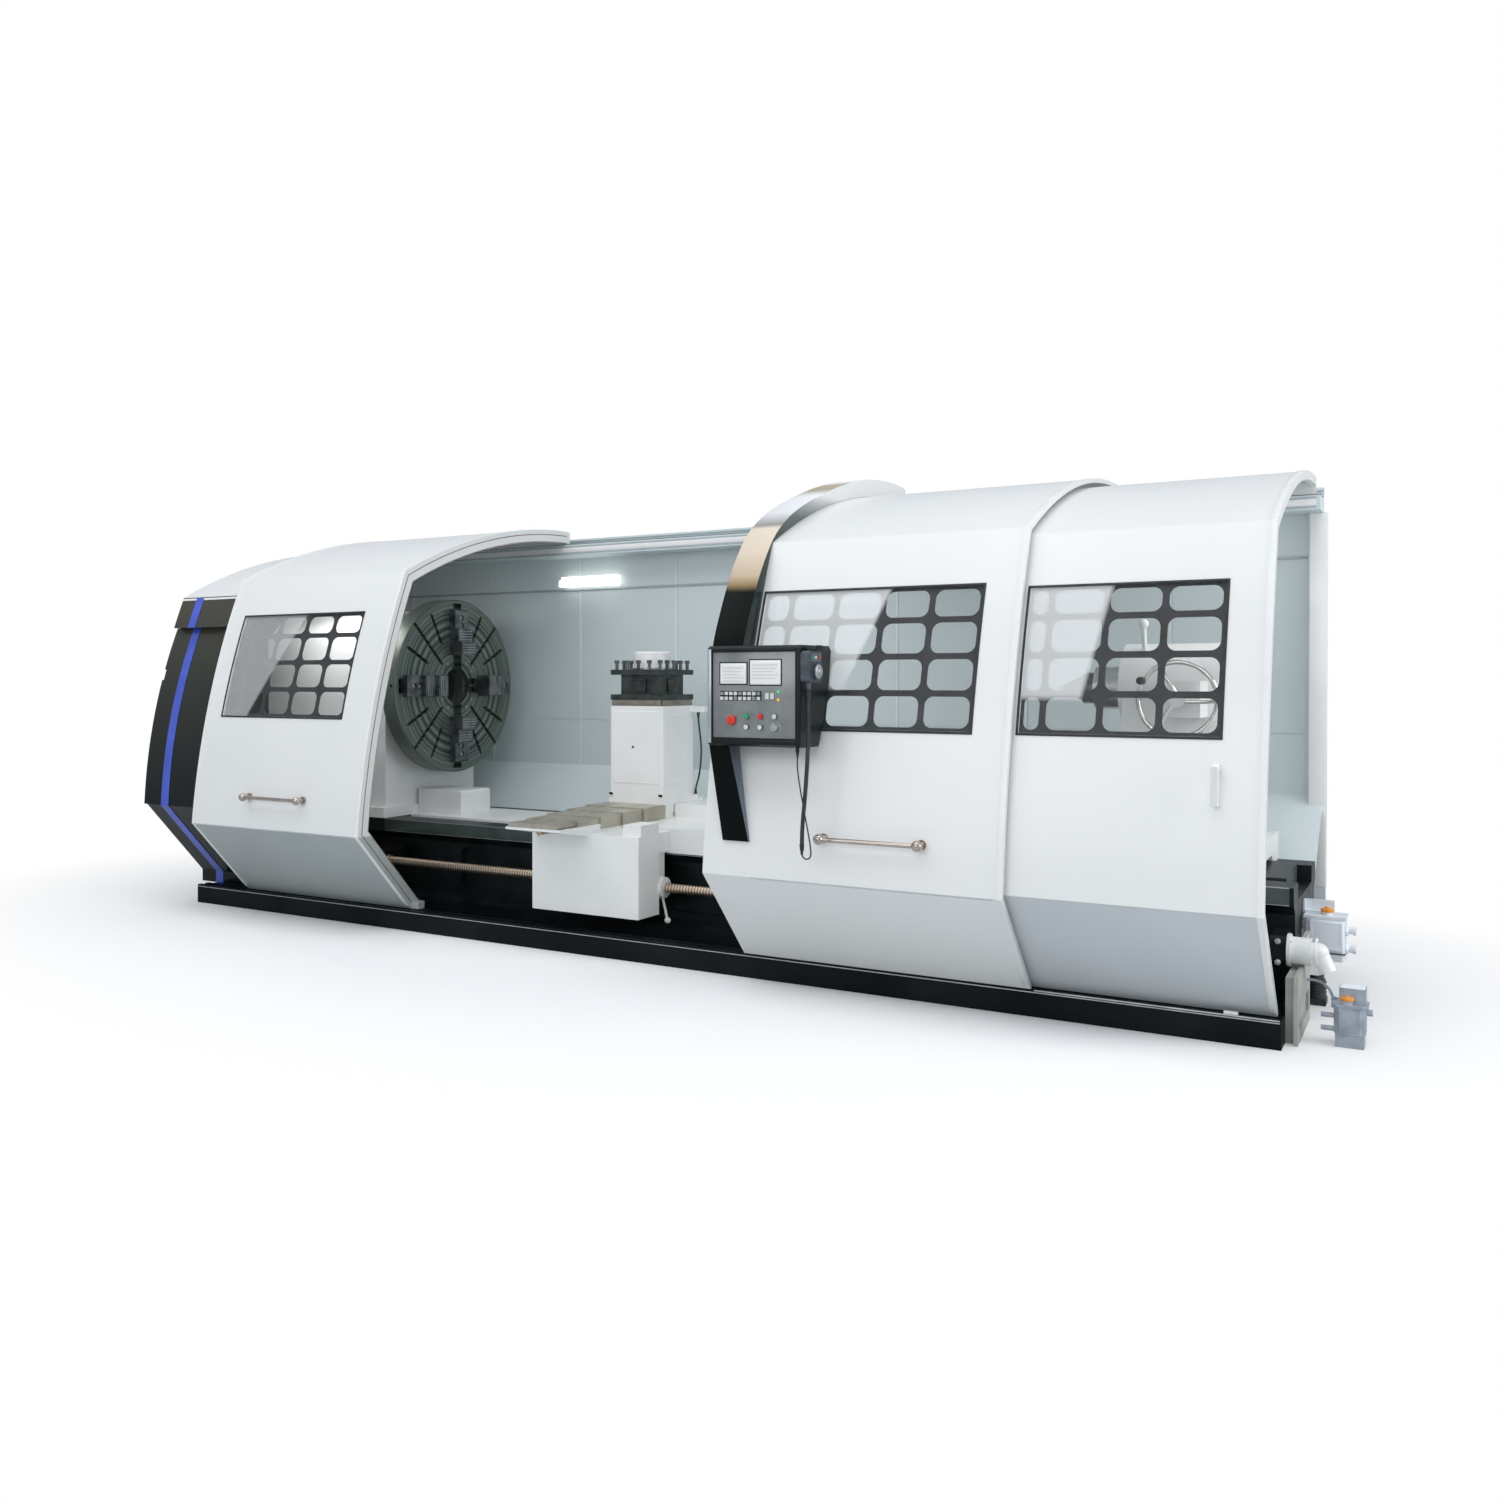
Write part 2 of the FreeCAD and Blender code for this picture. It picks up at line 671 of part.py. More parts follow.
def guard_frame(x):
    """The frame that carries the wall: hollow top beam, end posts and ribs."""
    back = wall_front + wall_thickness
    beam = box(x, (wall_front - beam_depth, wall_front), (beam_low, beam_top))
    hollow = box((x[0] + 8, x[1] - 8), (wall_front - beam_depth + 8, wall_front - 8),
                 (beam_low + 8, beam_top - 8))
    beam = beam.cut(hollow)
    end_post = box((half_length - 70, half_length + 20), (wall_front - 60, wall_front),
                   (base_height, beam_low + 1))
    start_post = box((x[0], x[0] + 70), (wall_front - 60, wall_front),
                     (base_height, beam_low + 1))
    cap = box(x, (wall_front - 20, base_half_width), (wall_top, wall_top + 14))
    ribs = [beam, end_post, start_post, cap]
    for number in range(8):
        at = -half_length + 280 + number * (base_length - 560) / 7
        ribs.append(box((at, at + 60), (back, base_half_width), (base_height, wall_top + 1)))
    return ribs


def head_height(offset):
    """The top of a hood's window: the outer hood's window is a little taller."""
    return window_head + (large_head_rise if offset > 0 else 0.0)


def hood(x, offset, rear, window, frame_at, foot_block):
    """One sliding hood: curved wall, rear flange, window hole and end frame."""
    wall = skin(x, offset, offset - hood_wall, FOOT_Z, rear)
    flange = box(x, (rear - hood_wall, rear), (TRACK_TOP + seat,
                                               roof_z(rear, offset - hood_wall / 2)))
    body = fuse([wall, flange])
    if frame_at is not None:
        frame = skin(frame_at[:2], offset, offset - frame_at[2], FOOT_Z, rear)
        body = fuse([body, frame])
    if foot_block is not None:
        foot = skirt_point(FOOT_Z, offset)[0]
        body = fuse([body, box(foot_block, (foot + 4, foot + 60), (FOOT_Z, FOOT_Z + 46))])
    head = head_height(offset)
    hole = box(window, (-FACE_WALL, face_y(head, offset) + 90), (window_sill, head))
    return body.cut(hole)


def window_pane(x, offset, inset, thickness):
    """A pane that fills a window hole at some depth below the hood's surface."""
    pane = skin(x, offset - inset, offset - inset - thickness, FOOT_Z, large_rear)
    return pane.common(box(x, (-FACE_WALL, 0), (window_sill, head_height(offset))))


def window_grid(x, offset):
    """The guard grid behind a window: rounded cells in a thin plate."""
    plate = window_pane(x, offset, grid_inset, grid_thickness)
    columns = int((x[1] - x[0] + grid_bar) // grid_pitch_x) + 1
    head = head_height(offset)
    rows = int(round((head - window_sill + grid_bar) / grid_pitch_z))
    y_to = face_y(head, offset) + 100
    for column in range(columns):
        high = x[1] - grid_bar / 2 - column * grid_pitch_x
        low = max(high - grid_pitch_x + grid_bar, x[0] + grid_bar / 2)
        if high - low < grid_corner:
            continue
        for row in range(rows):
            floor = window_sill + grid_bar / 2 + row * grid_pitch_z
            ceiling = min(floor + grid_pitch_z - grid_bar, head - grid_bar / 2)
            corner = min(grid_corner, (high - low) / 2.2)
            plate = plate.cut(rounded_cell((low + high) / 2, (floor + ceiling) / 2, high - low,
                                           ceiling - floor, corner, -FACE_WALL, y_to))
    return plate


def bar_handle(x, offset, height):
    """A level pull bar with a ball on a post at each end."""
    y_face = face_y(height, offset)
    y_bar = y_face - handle_standoff
    pieces = [rod((x[0], y_bar, height), (x[1], y_bar, height), handle_radius)]
    for end in x:
        pieces.append(Part.makeSphere(handle_ball_radius, V(end, y_bar, height)))
        pieces.append(rod((end, y_bar, height), (end, y_face - 4, height), handle_radius + 2))
        pieces.append(rod((end, y_face - 12, height), (end, y_face + 20, height),
                          handle_ball_radius - 3))
    inside = skin_block((x[0] - 60, x[1] + 60), offset, FOOT_Z, 0)
    return fuse(pieces).cut(inside)


def upright_handle(x, offset, z):
    """A flat upright pull with two feet."""
    middle = (z[0] + z[1]) / 2
    y_face = face_y(middle, offset)
    y_bar = y_face - handle_standoff + 12
    grip = box((x - 16, x + 16), (y_bar - 14, y_bar + 14), z)
    grip = grip.makeFillet(9, grip.Edges)
    feet = [box((x - 13, x + 13), (y_bar, y_face + 40), (at, at + 26))
            for at in (z[0] + 4, z[1] - 30)]
    inside = skin_block((x - 60, x + 60), offset, FOOT_Z, 0)
    return fuse([grip] + feet).cut(inside)


def arch_band():
    """The dark arch on the middle hood's edge, with a lower leg that tapers out."""
    rise = hood_nesting + band_rise
    left = middle_hood_x[0]
    top = skin((left, left + band_width), rise, hood_nesting, FOOT_Z, large_rear)
    split = band_split
    top = top.common(box((left - 1, left + band_width + 1), (-FACE_WALL, FACE_WALL),
                         (split, far)))
    leg_x = (left, left + band_width + 120)
    leg = skin(leg_x, rise, hood_nesting, FOOT_Z, large_rear)
    lean = prism([(left, split + 1), (left + 50, band_bend), (left + 115, band_foot),
                  (left + 265, band_foot), (left + 166, band_bend),
                  (left + band_width, split + 1)], -FACE_WALL, 0, axis="y")
    leg = leg.common(lean)
    above = (face_y(band_bend, rise), band_bend)
    below = (face_y(band_foot, hood_nesting) - 14, band_foot)
    shaving = prism([above, below, (below[0], 0), (-FACE_WALL, 0), (-FACE_WALL, band_bend)],
                    leg_x[0] - 1, leg_x[1] + 200)
    leg = leg.cut(shaving)
    return fuse([top, leg])


# ---------------------------------------------------------------- control pendant
def pendant_spot(px, pz):
    """A place on the pendant's panel from its left edge and its top edge."""
    return (pendant_x[0] + px, pendant_high - pz)


EMERGENCY = pendant_spot(136, 365)
START = pendant_spot(220, 345)
STOP = pendant_spot(296, 345)
KNOB = pendant_spot(374, 398)
PANEL_Y = pendant_front + panel_recess
BUTTON_RADIUS = 13.0
KNOB_RADIUS = 17.0
STEM_RADIUS = 9.0
STEM_DEPTH = 26.0
MUSHROOM_RADIUS = 25.0
BUTTON_TRAVEL = 5.0


def pendant_case():
    """The pendant's case: deep wedge body, bezel, key rows and the fixed controls."""
    x = pendant_x
    back = pendant_front + pendant_depth
    outline = [(pendant_front, pendant_low + 12), (pendant_front, pendant_high - 14),
               (pendant_front + 26, pendant_high), (back - 24, pendant_high),
               (back, pendant_high - 24), (back - 30, pendant_low + 273),
               (back - 142, pendant_low), (pendant_front + 24, pendant_low)]
    body = prism(outline, x[0], x[1])
    body = body.cut(box((x[0] + bezel, x[1] - bezel), (pendant_front - 1, PANEL_Y),
                        (pendant_low + bezel + 14, pendant_high - bezel - 4)))
    pieces = [body]
    key_z = (pendant_high - 268, pendant_high - 222)
    for group, width in ((70, 78), (158, 40), (205, 40), (255, 44)):
        pieces.append(box((x[0] + group, x[0] + group + width), (PANEL_Y - 4, PANEL_Y + 1),
                          key_z))
    for spot in (pendant_spot(392, 226), pendant_spot(392, 264)):
        pieces.append(rod((spot[0], PANEL_Y - 6, spot[1]), (spot[0], PANEL_Y + 1, spot[1]), 8))
    for spot in (pendant_spot(220, 398), pendant_spot(296, 398), pendant_spot(374, 345)):
        pieces.append(rod((spot[0], PANEL_Y - 14, spot[1]), (spot[0], PANEL_Y + 1, spot[1]), 11))
    hook_y = (pendant_front + 50, pendant_front + 100)
    hook_z = pendant_high - 28
    hook = [box((x[1] - 1, x[1] + 14), (hook_y[0] - 10, hook_y[1] + 10),
                (hook_z, hook_z + 12)),
            box((x[1] - 1, x[1] + 70), hook_y, (hook_z, hook_z + 8)),
            box((x[1] + 62, x[1] + 70), hook_y, (hook_z, hook_z + 26))]
    gland = rod((LEAD_ROUTE[-1][0], LEAD_ROUTE[-1][1], pendant_low - 22),
                (LEAD_ROUTE[-1][0], LEAD_ROUTE[-1][1], pendant_low + 5), 9)
    body = fuse(pieces + hook + [gland])
    for spot, radius in ((EMERGENCY, STEM_RADIUS), (START, STEM_RADIUS), (STOP, STEM_RADIUS),
                         (KNOB, STEM_RADIUS)):
        body = body.cut(rod((spot[0], PANEL_Y - 1, spot[1]),
                            (spot[0], PANEL_Y + STEM_DEPTH + BUTTON_TRAVEL + 2, spot[1]),
                            radius + seat))
    band = skin((middle_hood_x[0] - 10, middle_hood_x[0] + band_width + 130),
                hood_nesting + band_rise, 0, FOOT_Z, large_rear)
    band = band.common(box((0, middle_hood_x[0] + band_width + 45), (-FACE_WALL, 0), (0, far)))
    return body.cut(band).cut(arch_band())


def pendant_screens():
    """Two flat screens set on the pendant's panel."""
    screens = []
    for low, high in ((pendant_spot(72, 186), pendant_spot(217, 86)),
                      (pendant_spot(238, 190), pendant_spot(404, 72))):
        screens.append(box((low[0], high[0]), (PANEL_Y - 5, PANEL_Y), (low[1], high[1])))
    return Part.makeCompound(screens)


def panel_button(spot, cap_radius, cap_rise):
    """A push button: round cap, and a stem that runs in its hole."""
    x, z = spot
    lift = BUTTON_TRAVEL + 1.0
    cap = rod((x, PANEL_Y - lift - cap_rise, z), (x, PANEL_Y - lift, z), cap_radius)
    stem = rod((x, PANEL_Y - lift - 1, z), (x, PANEL_Y + STEM_DEPTH, z), STEM_RADIUS)
    return fuse([cap, stem])


def emergency_button():
    """The mushroom-headed emergency stop."""
    x, z = EMERGENCY
    body = panel_button(EMERGENCY, MUSHROOM_RADIUS, 14)
    rims = [e for e in body.Edges
            if abs(e.Length - 2 * math.pi * MUSHROOM_RADIUS) < 1
            and e.CenterOfMass.y < PANEL_Y - 15]
    return body.makeFillet(8, rims)


def override_knob():
    """The round feed override knob with a pointer rib."""
    x, z = KNOB
    cap = rod((x, PANEL_Y - 20, z), (x, PANEL_Y - 1, z), KNOB_RADIUS)
    stem = rod((x, PANEL_Y - 2, z), (x, PANEL_Y + STEM_DEPTH, z), STEM_RADIUS)
    rib = box((x - 3, x + 3), (PANEL_Y - 25, PANEL_Y - 2), (z - 4, z + KNOB_RADIUS + 2))
    return fuse([cap, stem, rib])


def pulse_generator():
    """The hand-held pulse generator that hangs from the pendant's hook."""
    x = (pendant_x[1] + seat, pendant_x[1] + 48)
    y = (pendant_front + 2, pendant_front + 138)
    low = pendant_high - 180
    body = box(x, y, (low, pendant_high - 28 - seat))
    upright = [e for e in body.Edges if abs(e.tangentAt(e.FirstParameter).x) > 0.9]
    body = body.makeFillet(18, upright)
    dial = rod((x[1] - 1, y[0] + 68, low + 52), (x[1] + 15, y[0] + 68, low + 52), 38)
    neck = rod((CORD_ROUTE[0][0], CORD_ROUTE[0][1], low - 30),
               (CORD_ROUTE[0][0], CORD_ROUTE[0][1], low + 1), 14)
    return fuse([body, dial, neck])


# ---------------------------------------------------------------- cords
CORD_RADIUS = 10.0
LEAD_RADIUS = 3.5
CABLE_RADIUS = 6.0
# The thick cord hangs from the pulse generator; the lead returns to the pendant.
def route(x, y, steps):
    """The points of a cord's route, given from a place on the part it hangs from."""
    return [(x + along, y + across, z) for along, across, z in steps]


CORD_ROUTE = route(pendant_x[1], pendant_front, [
    (24, 40, 1570), (24, 40, 1495), (27, 37, 1360), (24, 30, 1210), (18, 19, 1060),
    (10, 8, 930), (9, 3, 850), (9, 3, 800)])
LEAD_ROUTE = route(pendant_x[1], pendant_front, [
    (9, 3, 800), (9, 3, 775), (23, 3, 761), (43, 2, 761), (57, 1, 775), (59, -3, 810),
    (53, -12, 870), (39, -22, 960), (21, -24, 1055), (-1, -12, 1140), (-20, 10, 1205),
    (-23, 20, 1240), (-23, 20, 1265)])
CABLE_ROUTE = route(carriage_middle, column_front, [
    (255, 370, 1395), (255, 370, 1345), (265, 372, 1265), (274, 376, 1180), (272, 380, 1090),
    (260, 384, 1005), (241, 388, 930), (222, 390, 885), (222, 390, 842)])


def tube(name, route, radius):
    """A round cord along straight runs joined by tangent arcs."""
    points = [V(*p) for p in route]
    edges = []
    at = points[0]
    radii = []
    for before, corner, after in zip(points, points[1:], points[2:]):
        run_in, run_out = corner - before, after - corner
        turn = run_in.getAngle(run_out)
        reach = 0.45 * min(run_in.Length, run_out.Length)
        way_in = V(run_in).normalize()
        way_out = V(run_out).normalize()
        bend = reach / math.tan(turn / 2)
        radii.append(bend)
        start = corner - way_in * reach
        end = corner + way_out * reach
        to_middle = (way_out - way_in).normalize()
        middle = corner + to_middle * (bend / math.cos(turn / 2) - bend)
        edges.append(Part.LineSegment(at, start).toShape())
        edges.append(Part.Arc(start, middle, end).toShape())
        at = end
    edges.append(Part.LineSegment(at, points[-1]).toShape())
    path = Part.Wire(edges)
    ring = Part.Wire([Part.Circle(points[0], points[1] - points[0], radius).toShape()])
    body = path.makePipeShell([ring], True, True)
    print("%s: length %.0f, tightest bend %.0f, volume ratio %.4f" % (
        name, path.Length, min(radii), body.Volume / (math.pi * radius ** 2 * path.Length)))
    return body


# ---------------------------------------------------------------- carriage
def cross_bed_outline(back):
    """The cross bed from the side: a thin lip at the front that deepens to its root."""
    floor = bed_top + saddle_low_gap + 5
    return [(cross_bed_front, cross_bed_top - cross_bed_lip), (cross_bed_root, floor),
            (back, floor), (back, cross_bed_top), (cross_bed_front, cross_bed_top)]


def saddle():
    """The saddle: wings along the bed and a cross bed that reaches to the operator."""
    x = (carriage_middle - saddle_reach[0], carriage_middle + saddle_reach[1])
    low = bed_top + saddle_low_gap
    wings = box(x, (-bed_half_width - 15, bed_half_width + 15), (low, saddle_top))
    half = cross_bed_width / 2
    bridge = prism(cross_bed_outline(bed_half_width + 15), carriage_middle - half,
                   carriage_middle + half)
    keeper = box((x[0] + 60, x[1] - 60), (-bed_half_width - 15, -bed_half_width - seat),
                 (bed_top - guideway_height + 10, low + 1))
    step = box((carriage_middle + column_width / 2 + 3, carriage_middle + 540),
               (60, bed_half_width), (saddle_top, cover_top - 1))
    body = fuse([wings, bridge, keeper, step])
    relief = box((x[0] - 1, x[1] + 1), (-CHIP_HALF - 20, CHIP_HALF + 20), (low - 1, low + 40))
    body = body.cut(relief)
    groove_half = cross_screw_radius + 22
    groove = box((carriage_middle - groove_half, carriage_middle + groove_half),
                 (cross_bed_front + 60, bed_half_width - 20),
                 (cross_bed_top - 55, cross_bed_top + 1))
    return body.cut(groove)


CHIP_HALF = 240.0


def chip_slide():
    """The white chip slide between the guideways and the box below the chuck."""
    floor = bed_top - guideway_height
    slide = prism([(-CHIP_HALF, floor), (CHIP_HALF, floor), (CHIP_HALF, floor + 110),
                   (-CHIP_HALF, floor + 88)], headstock_right + 25, half_length - 60)
    box_end = chuck_face + 177
    box_top = bed_top + 182
    cover = box((headstock_right + 25, box_end), (-160, 160), (bed_top, box_top))
    corners = [e for e in cover.Edges
               if e.CenterOfMass.x > box_end - 4 and e.CenterOfMass.z > box_top - 2]
    cover = cover.makeChamfer(14, corners)
    return fuse([slide, cover])


def apron():
    """The apron: front box, web to the saddle and the nut block on the feed screw."""
    x = (carriage_middle - apron_reach[0], carriage_middle + apron_reach[1])
    top = saddle_top - 16
    front = box(x, apron_y, (apron_low, top))
    upright = [e for e in front.Edges if abs(e.tangentAt(e.FirstParameter).z) > 0.9
               and e.CenterOfMass.y < apron_y[0] + 1]
    front = front.makeFillet(10, upright)
    block = box((x[1] - apron_block_width, x[1]), (apron_y[0] + 30, apron_y[1]),
                (top - 1, apron_block_top))
    web = box((x[0] + 20, x[1] - 20), (apron_y[1] - 1, -bed_half_width - 15),
              (bed_top - guideway_height + 20, top))
    line = (feed_screw_y, feed_screw_z)
    nut_x = (carriage_middle + 60, x[1] - 33)
    nut_block = box(nut_x, (apron_y[1] - 1, feed_screw_y + 60),
                    (feed_screw_z - 60, bed_top - guideway_height + 21))
    bush = rod((nut_x[1] - 1, *line), (nut_x[1] + 46, *line), 62)
    bush_rim = rod((nut_x[1] - 1, *line), (nut_x[1] + 18, *line), 68)
    ball_end = (nut_x[1] + 63, feed_screw_y - 5, feed_screw_z - 194)
    lever = rod((nut_x[1] + 25, feed_screw_y - 5, feed_screw_z - 50), ball_end, 8)
    ball = Part.makeSphere(20, V(*ball_end))
    body = fuse([front, block, web, nut_block, bush, bush_rim, lever, ball])
    cross_bed = prism(cross_bed_outline(0), carriage_middle - cross_bed_width / 2,
                      carriage_middle + cross_bed_width / 2)
    body = body.cut(cross_bed)
    return body.cut(rod((x[0] - 5, *line), (x[1] + 60, *line), feed_screw_radius + running))


def cross_screw():
    """The screw under the way covers that moves the cross slide."""
    z = cross_bed_top - 28
    body = rod((carriage_middle, cross_bed_front + 60 + seat, z),
               (carriage_middle, bed_half_width - 20 - seat, z), cross_screw_radius)
    return body


def cover_size(number):
    """Half width and top of one cover segment."""
    drop = number * (cover_step + cover_sheet) * 0.6
    return (cover_width - number * cover_narrowing) / 2, cover_top - drop


def way_cover(number):
    """One segment of the telescopic cover, with the wiper that rides on the next."""
    length = (column_front - cross_bed_front) / cover_count
    back = column_front - number * length
    last = number == cover_count - 1
    front = back - length - (0.0 if last else cover_lap)
    half, top = cover_size(number)
    skirt = (cover_top - 123.0) + number * (123.0 - 49.0) / (cover_count - 1)
    skirt = max(skirt, saddle_top + 1.5)
    middle = carriage_middle
    channel = box((middle - half, middle + half), (front, back), (skirt, top))
    bed_half = cross_bed_width / 2 + seat
    channel = channel.cut(box((middle - bed_half, middle + bed_half), (front - 1, back + 1),
                              (0, cross_bed_top + seat)))
    if last:
        hollow = box((middle - half + cover_sheet, middle + half - cover_sheet),
                     (front + cover_sheet, back + 1), (skirt - 1, top - cover_sheet))
        foot = box((middle - half, middle + half), (front, front + cover_sheet),
                   (cross_bed_top + seat, skirt + 1))
        return fuse([channel.cut(hollow), foot])
    next_half, next_top = cover_size(number + 1)
    hollow = box((middle - half + cover_sheet, middle + half - cover_sheet),
                 (front + 12, back + 1), (skirt - 1, top - cover_sheet))
    mouth = box((middle - next_half - seat, middle + next_half + seat),
                (front - 1, front + 13), (skirt - 1, next_top + seat))
    return channel.cut(hollow).cut(mouth)


def tool_column():
    """The white column on the cross slide that carries the square turret."""
    half = column_width / 2
    x = (carriage_middle - half, carriage_middle + half)
    y = (column_front, column_front + column_depth)
    low = cross_bed_top + seat
    foot = box((x[0] - 8, x[1] + 8), (y[0] + seat, y[1] + 40), (cover_top, cover_top + 34))
    sole = box((x[0] + 2, x[1] - 2), (y[0] + seat, y[1] + 40), (low, low + 92))
    body = box(x, y, (cover_top + 33, column_top))
    upright = [e for e in body.Edges if abs(e.tangentAt(e.FirstParameter).z) > 0.9]
    body = body.makeFillet(12, upright)
    bolts = []
    for bolt_x in (x[0] + 14, x[1] - 14):
        bolts.append(box((bolt_x - 14, bolt_x + 14), (y[0] - 10, y[0] + 5),
                         (cover_top + 52, cover_top + 66)))
    reach = (CABLE_ROUTE[0][1] - 28, CABLE_ROUTE[0][1] + 28)
    socket = box((x[1] - 1, x[1] + 110), reach, (CABLE_ROUTE[0][2], column_top - 7))
    gland = rod((CABLE_ROUTE[-1][0], CABLE_ROUTE[-1][1], cover_top + 12),
                (CABLE_ROUTE[-1][0], CABLE_ROUTE[-1][1], CABLE_ROUTE[-1][2]), 13)
    ledge = box((x[1] - 1, x[1] + 55), (CABLE_ROUTE[-1][1] - 30, CABLE_ROUTE[-1][1] + 30),
                (cover_top + seat, cover_top + 22))
    rear_block = box((x[0] - 40, x[0] + 1), (y[1] - 120, y[1]), (cover_top + 34, 1120))
    body = fuse([foot, sole, body, socket, gland, ledge, rear_block] + bolts)
    nut_half = cross_screw_radius + 18
    nut = box((carriage_middle - nut_half, carriage_middle + nut_half), (y[0] + 120, y[0] + 240),
              (cross_bed_top - 52, low + 1))
    body = fuse([body, nut])
    z = cross_bed_top - 28
    return body.cut(rod((carriage_middle, y[0] + 100, z), (carriage_middle, y[0] + 260, z),
                        cross_screw_radius + running))


TURRET_X = carriage_middle
TURRET_Y = column_front + column_depth / 2
TURRET_LOW = column_top + 0.3


def turret_block():
    """The square turret: spacer, low plate, body and top plate around a tool slot."""
    x, y, z = TURRET_X, TURRET_Y, TURRET_LOW
    square = lambda half, low, high: box((x - half, x + half), (y - half, y + half), (low, high))
    low_plate = z + turret_spacer + turret_low_plate
    top_plate = low_plate + turret_slot
    pieces = [
        square(turret_plate / 2 - 6, z, z + turret_spacer),
        square(turret_plate / 2, z + turret_spacer, low_plate),
        square(turret_body / 2, low_plate, top_plate),
        square(turret_plate / 2, top_plate, top_plate + turret_top_plate),
    ]
    return fuse(pieces)


def bolt_places():
    """The places of the clamping bolts round the top plate, five to a side."""
    reach = turret_plate / 2 - 30
    step = 2 * reach / 4
    places = set()
    for number in range(5):
        along = -reach + number * step
        for a, b in ((along, -reach), (along, reach), (-reach, along), (reach, along)):
            places.add((round(a, 3), round(b, 3)))
    return sorted(places)


def clamp_bolts():
    """The square-headed bolts that clamp the tools, standing out of the top plate."""
    top = TURRET_LOW + turret_spacer + turret_low_plate + turret_slot + turret_top_plate
    bolts = []
    for a, b in bolt_places():
        x, y = TURRET_X + a, TURRET_Y + b
        shank = rod((x, y, top), (x, y, top + clamp_bolt_rise - 20), clamp_bolt_radius)
        head = box((x - 12, x + 12), (y - 12, y + 12), (top + clamp_bolt_rise - 22,
                                                        top + clamp_bolt_rise))
        bolts.append(fuse([shank, head]))
    return Part.makeCompound(bolts)


def turret_cap():
    """The pale round cap over the turret's lock."""
    top = TURRET_LOW + turret_spacer + turret_low_plate + turret_slot + turret_top_plate
    body = rod((TURRET_X, TURRET_Y, top), (TURRET_X, TURRET_Y, top + turret_cap_height),
               turret_cap_radius)
    rims = [e for e in body.Edges if e.CenterOfMass.z > top + turret_cap_height - 1]
    return body.makeFillet(10, rims)


# ---------------------------------------------------------------- tailstock
def tailstock_body():
    """The tailstock casting: sole on the guideways, waist and quill barrel."""
    x = tail_x
    low = bed_top + saddle_low_gap
    sole = box((x[0] - 60, x[1] + 40), (-bed_half_width - 10, bed_half_width + 10),
               (low, low + 150))
    sole = sole.cut(box((x[0] - 61, x[1] + 41), (-CHIP_HALF - 20, CHIP_HALF + 20),
                        (low - 1, low + 50)))
    waist = prism([(-420, low + 149), (420, low + 149), (230, spindle_height - 60),
                   (-230, spindle_height - 60)], x[0] + 20, x[1] - 20)
    barrel = rod((x[0], 0, spindle_height), (x[1], 0, spindle_height), quill_radius + 120)
    cap = rod((x[1], 0, spindle_height), (x[1] + 30, 0, spindle_height), quill_radius + 70)
    box_front = box((wheel_x - 90, wheel_x + 90), (wheel_y + 90, -150),
                    (wheel_z - 90, wheel_z + 90))
    lever = rod((x[0] + 110, -120, spindle_height + 190), (x[0] + 110, -160,
                                                           spindle_height + 330), 13)
    knob = Part.makeSphere(26, V(x[0] + 110, -160, spindle_height + 335))
    sight = rod((wheel_x + 62, wheel_y + 78, wheel_z + 48), (wheel_x + 62, wheel_y + 95,
                                                          wheel_z + 48), 22)
    body = fuse([sole, waist, barrel, cap, box_front, lever, knob, sight])
    quill_hole = rod((x[0] - 1, 0, spindle_height), (x[1] - 60, 0, spindle_height),
                     quill_radius + running)
    wheel_hole = rod((wheel_x, wheel_y + 80, wheel_z), (wheel_x, wheel_y + 172, wheel_z),
                     20 + running)
    return body.cut(quill_hole).cut(wheel_hole)


QUILL_TRAVEL = 250.0


def quill():
    """The quill that slides out of the tailstock, with a bore for its centre."""
    front = tail_x[0] - quill_reach
    back = tail_x[1] - 60 - seat
    body = rod((front, 0, spindle_height), (back, 0, spindle_height), quill_radius)
    return body.cut(rod((front - 1, 0, spindle_height), (front + 150, 0, spindle_height),
                        46 + running))


def live_centre():
    """The revolving centre: shank, housing ring and sixty-degree point."""
    front = tail_x[0] - quill_reach
    shank = rod((front - 20, 0, spindle_height), (front + 140, 0, spindle_height), 46)
    ring = rod((front - 70, 0, spindle_height), (front - seat, 0, spindle_height), 84)
    neck = rod((front - 95, 0, spindle_height), (front - 69, 0, spindle_height), 62)
    cone_length = centre_length - 95
    point = Part.makeCone(62, 1.5, cone_length, V(front - 94, 0, spindle_height), V(-1, 0, 0))
    return fuse([shank, ring, neck, point])


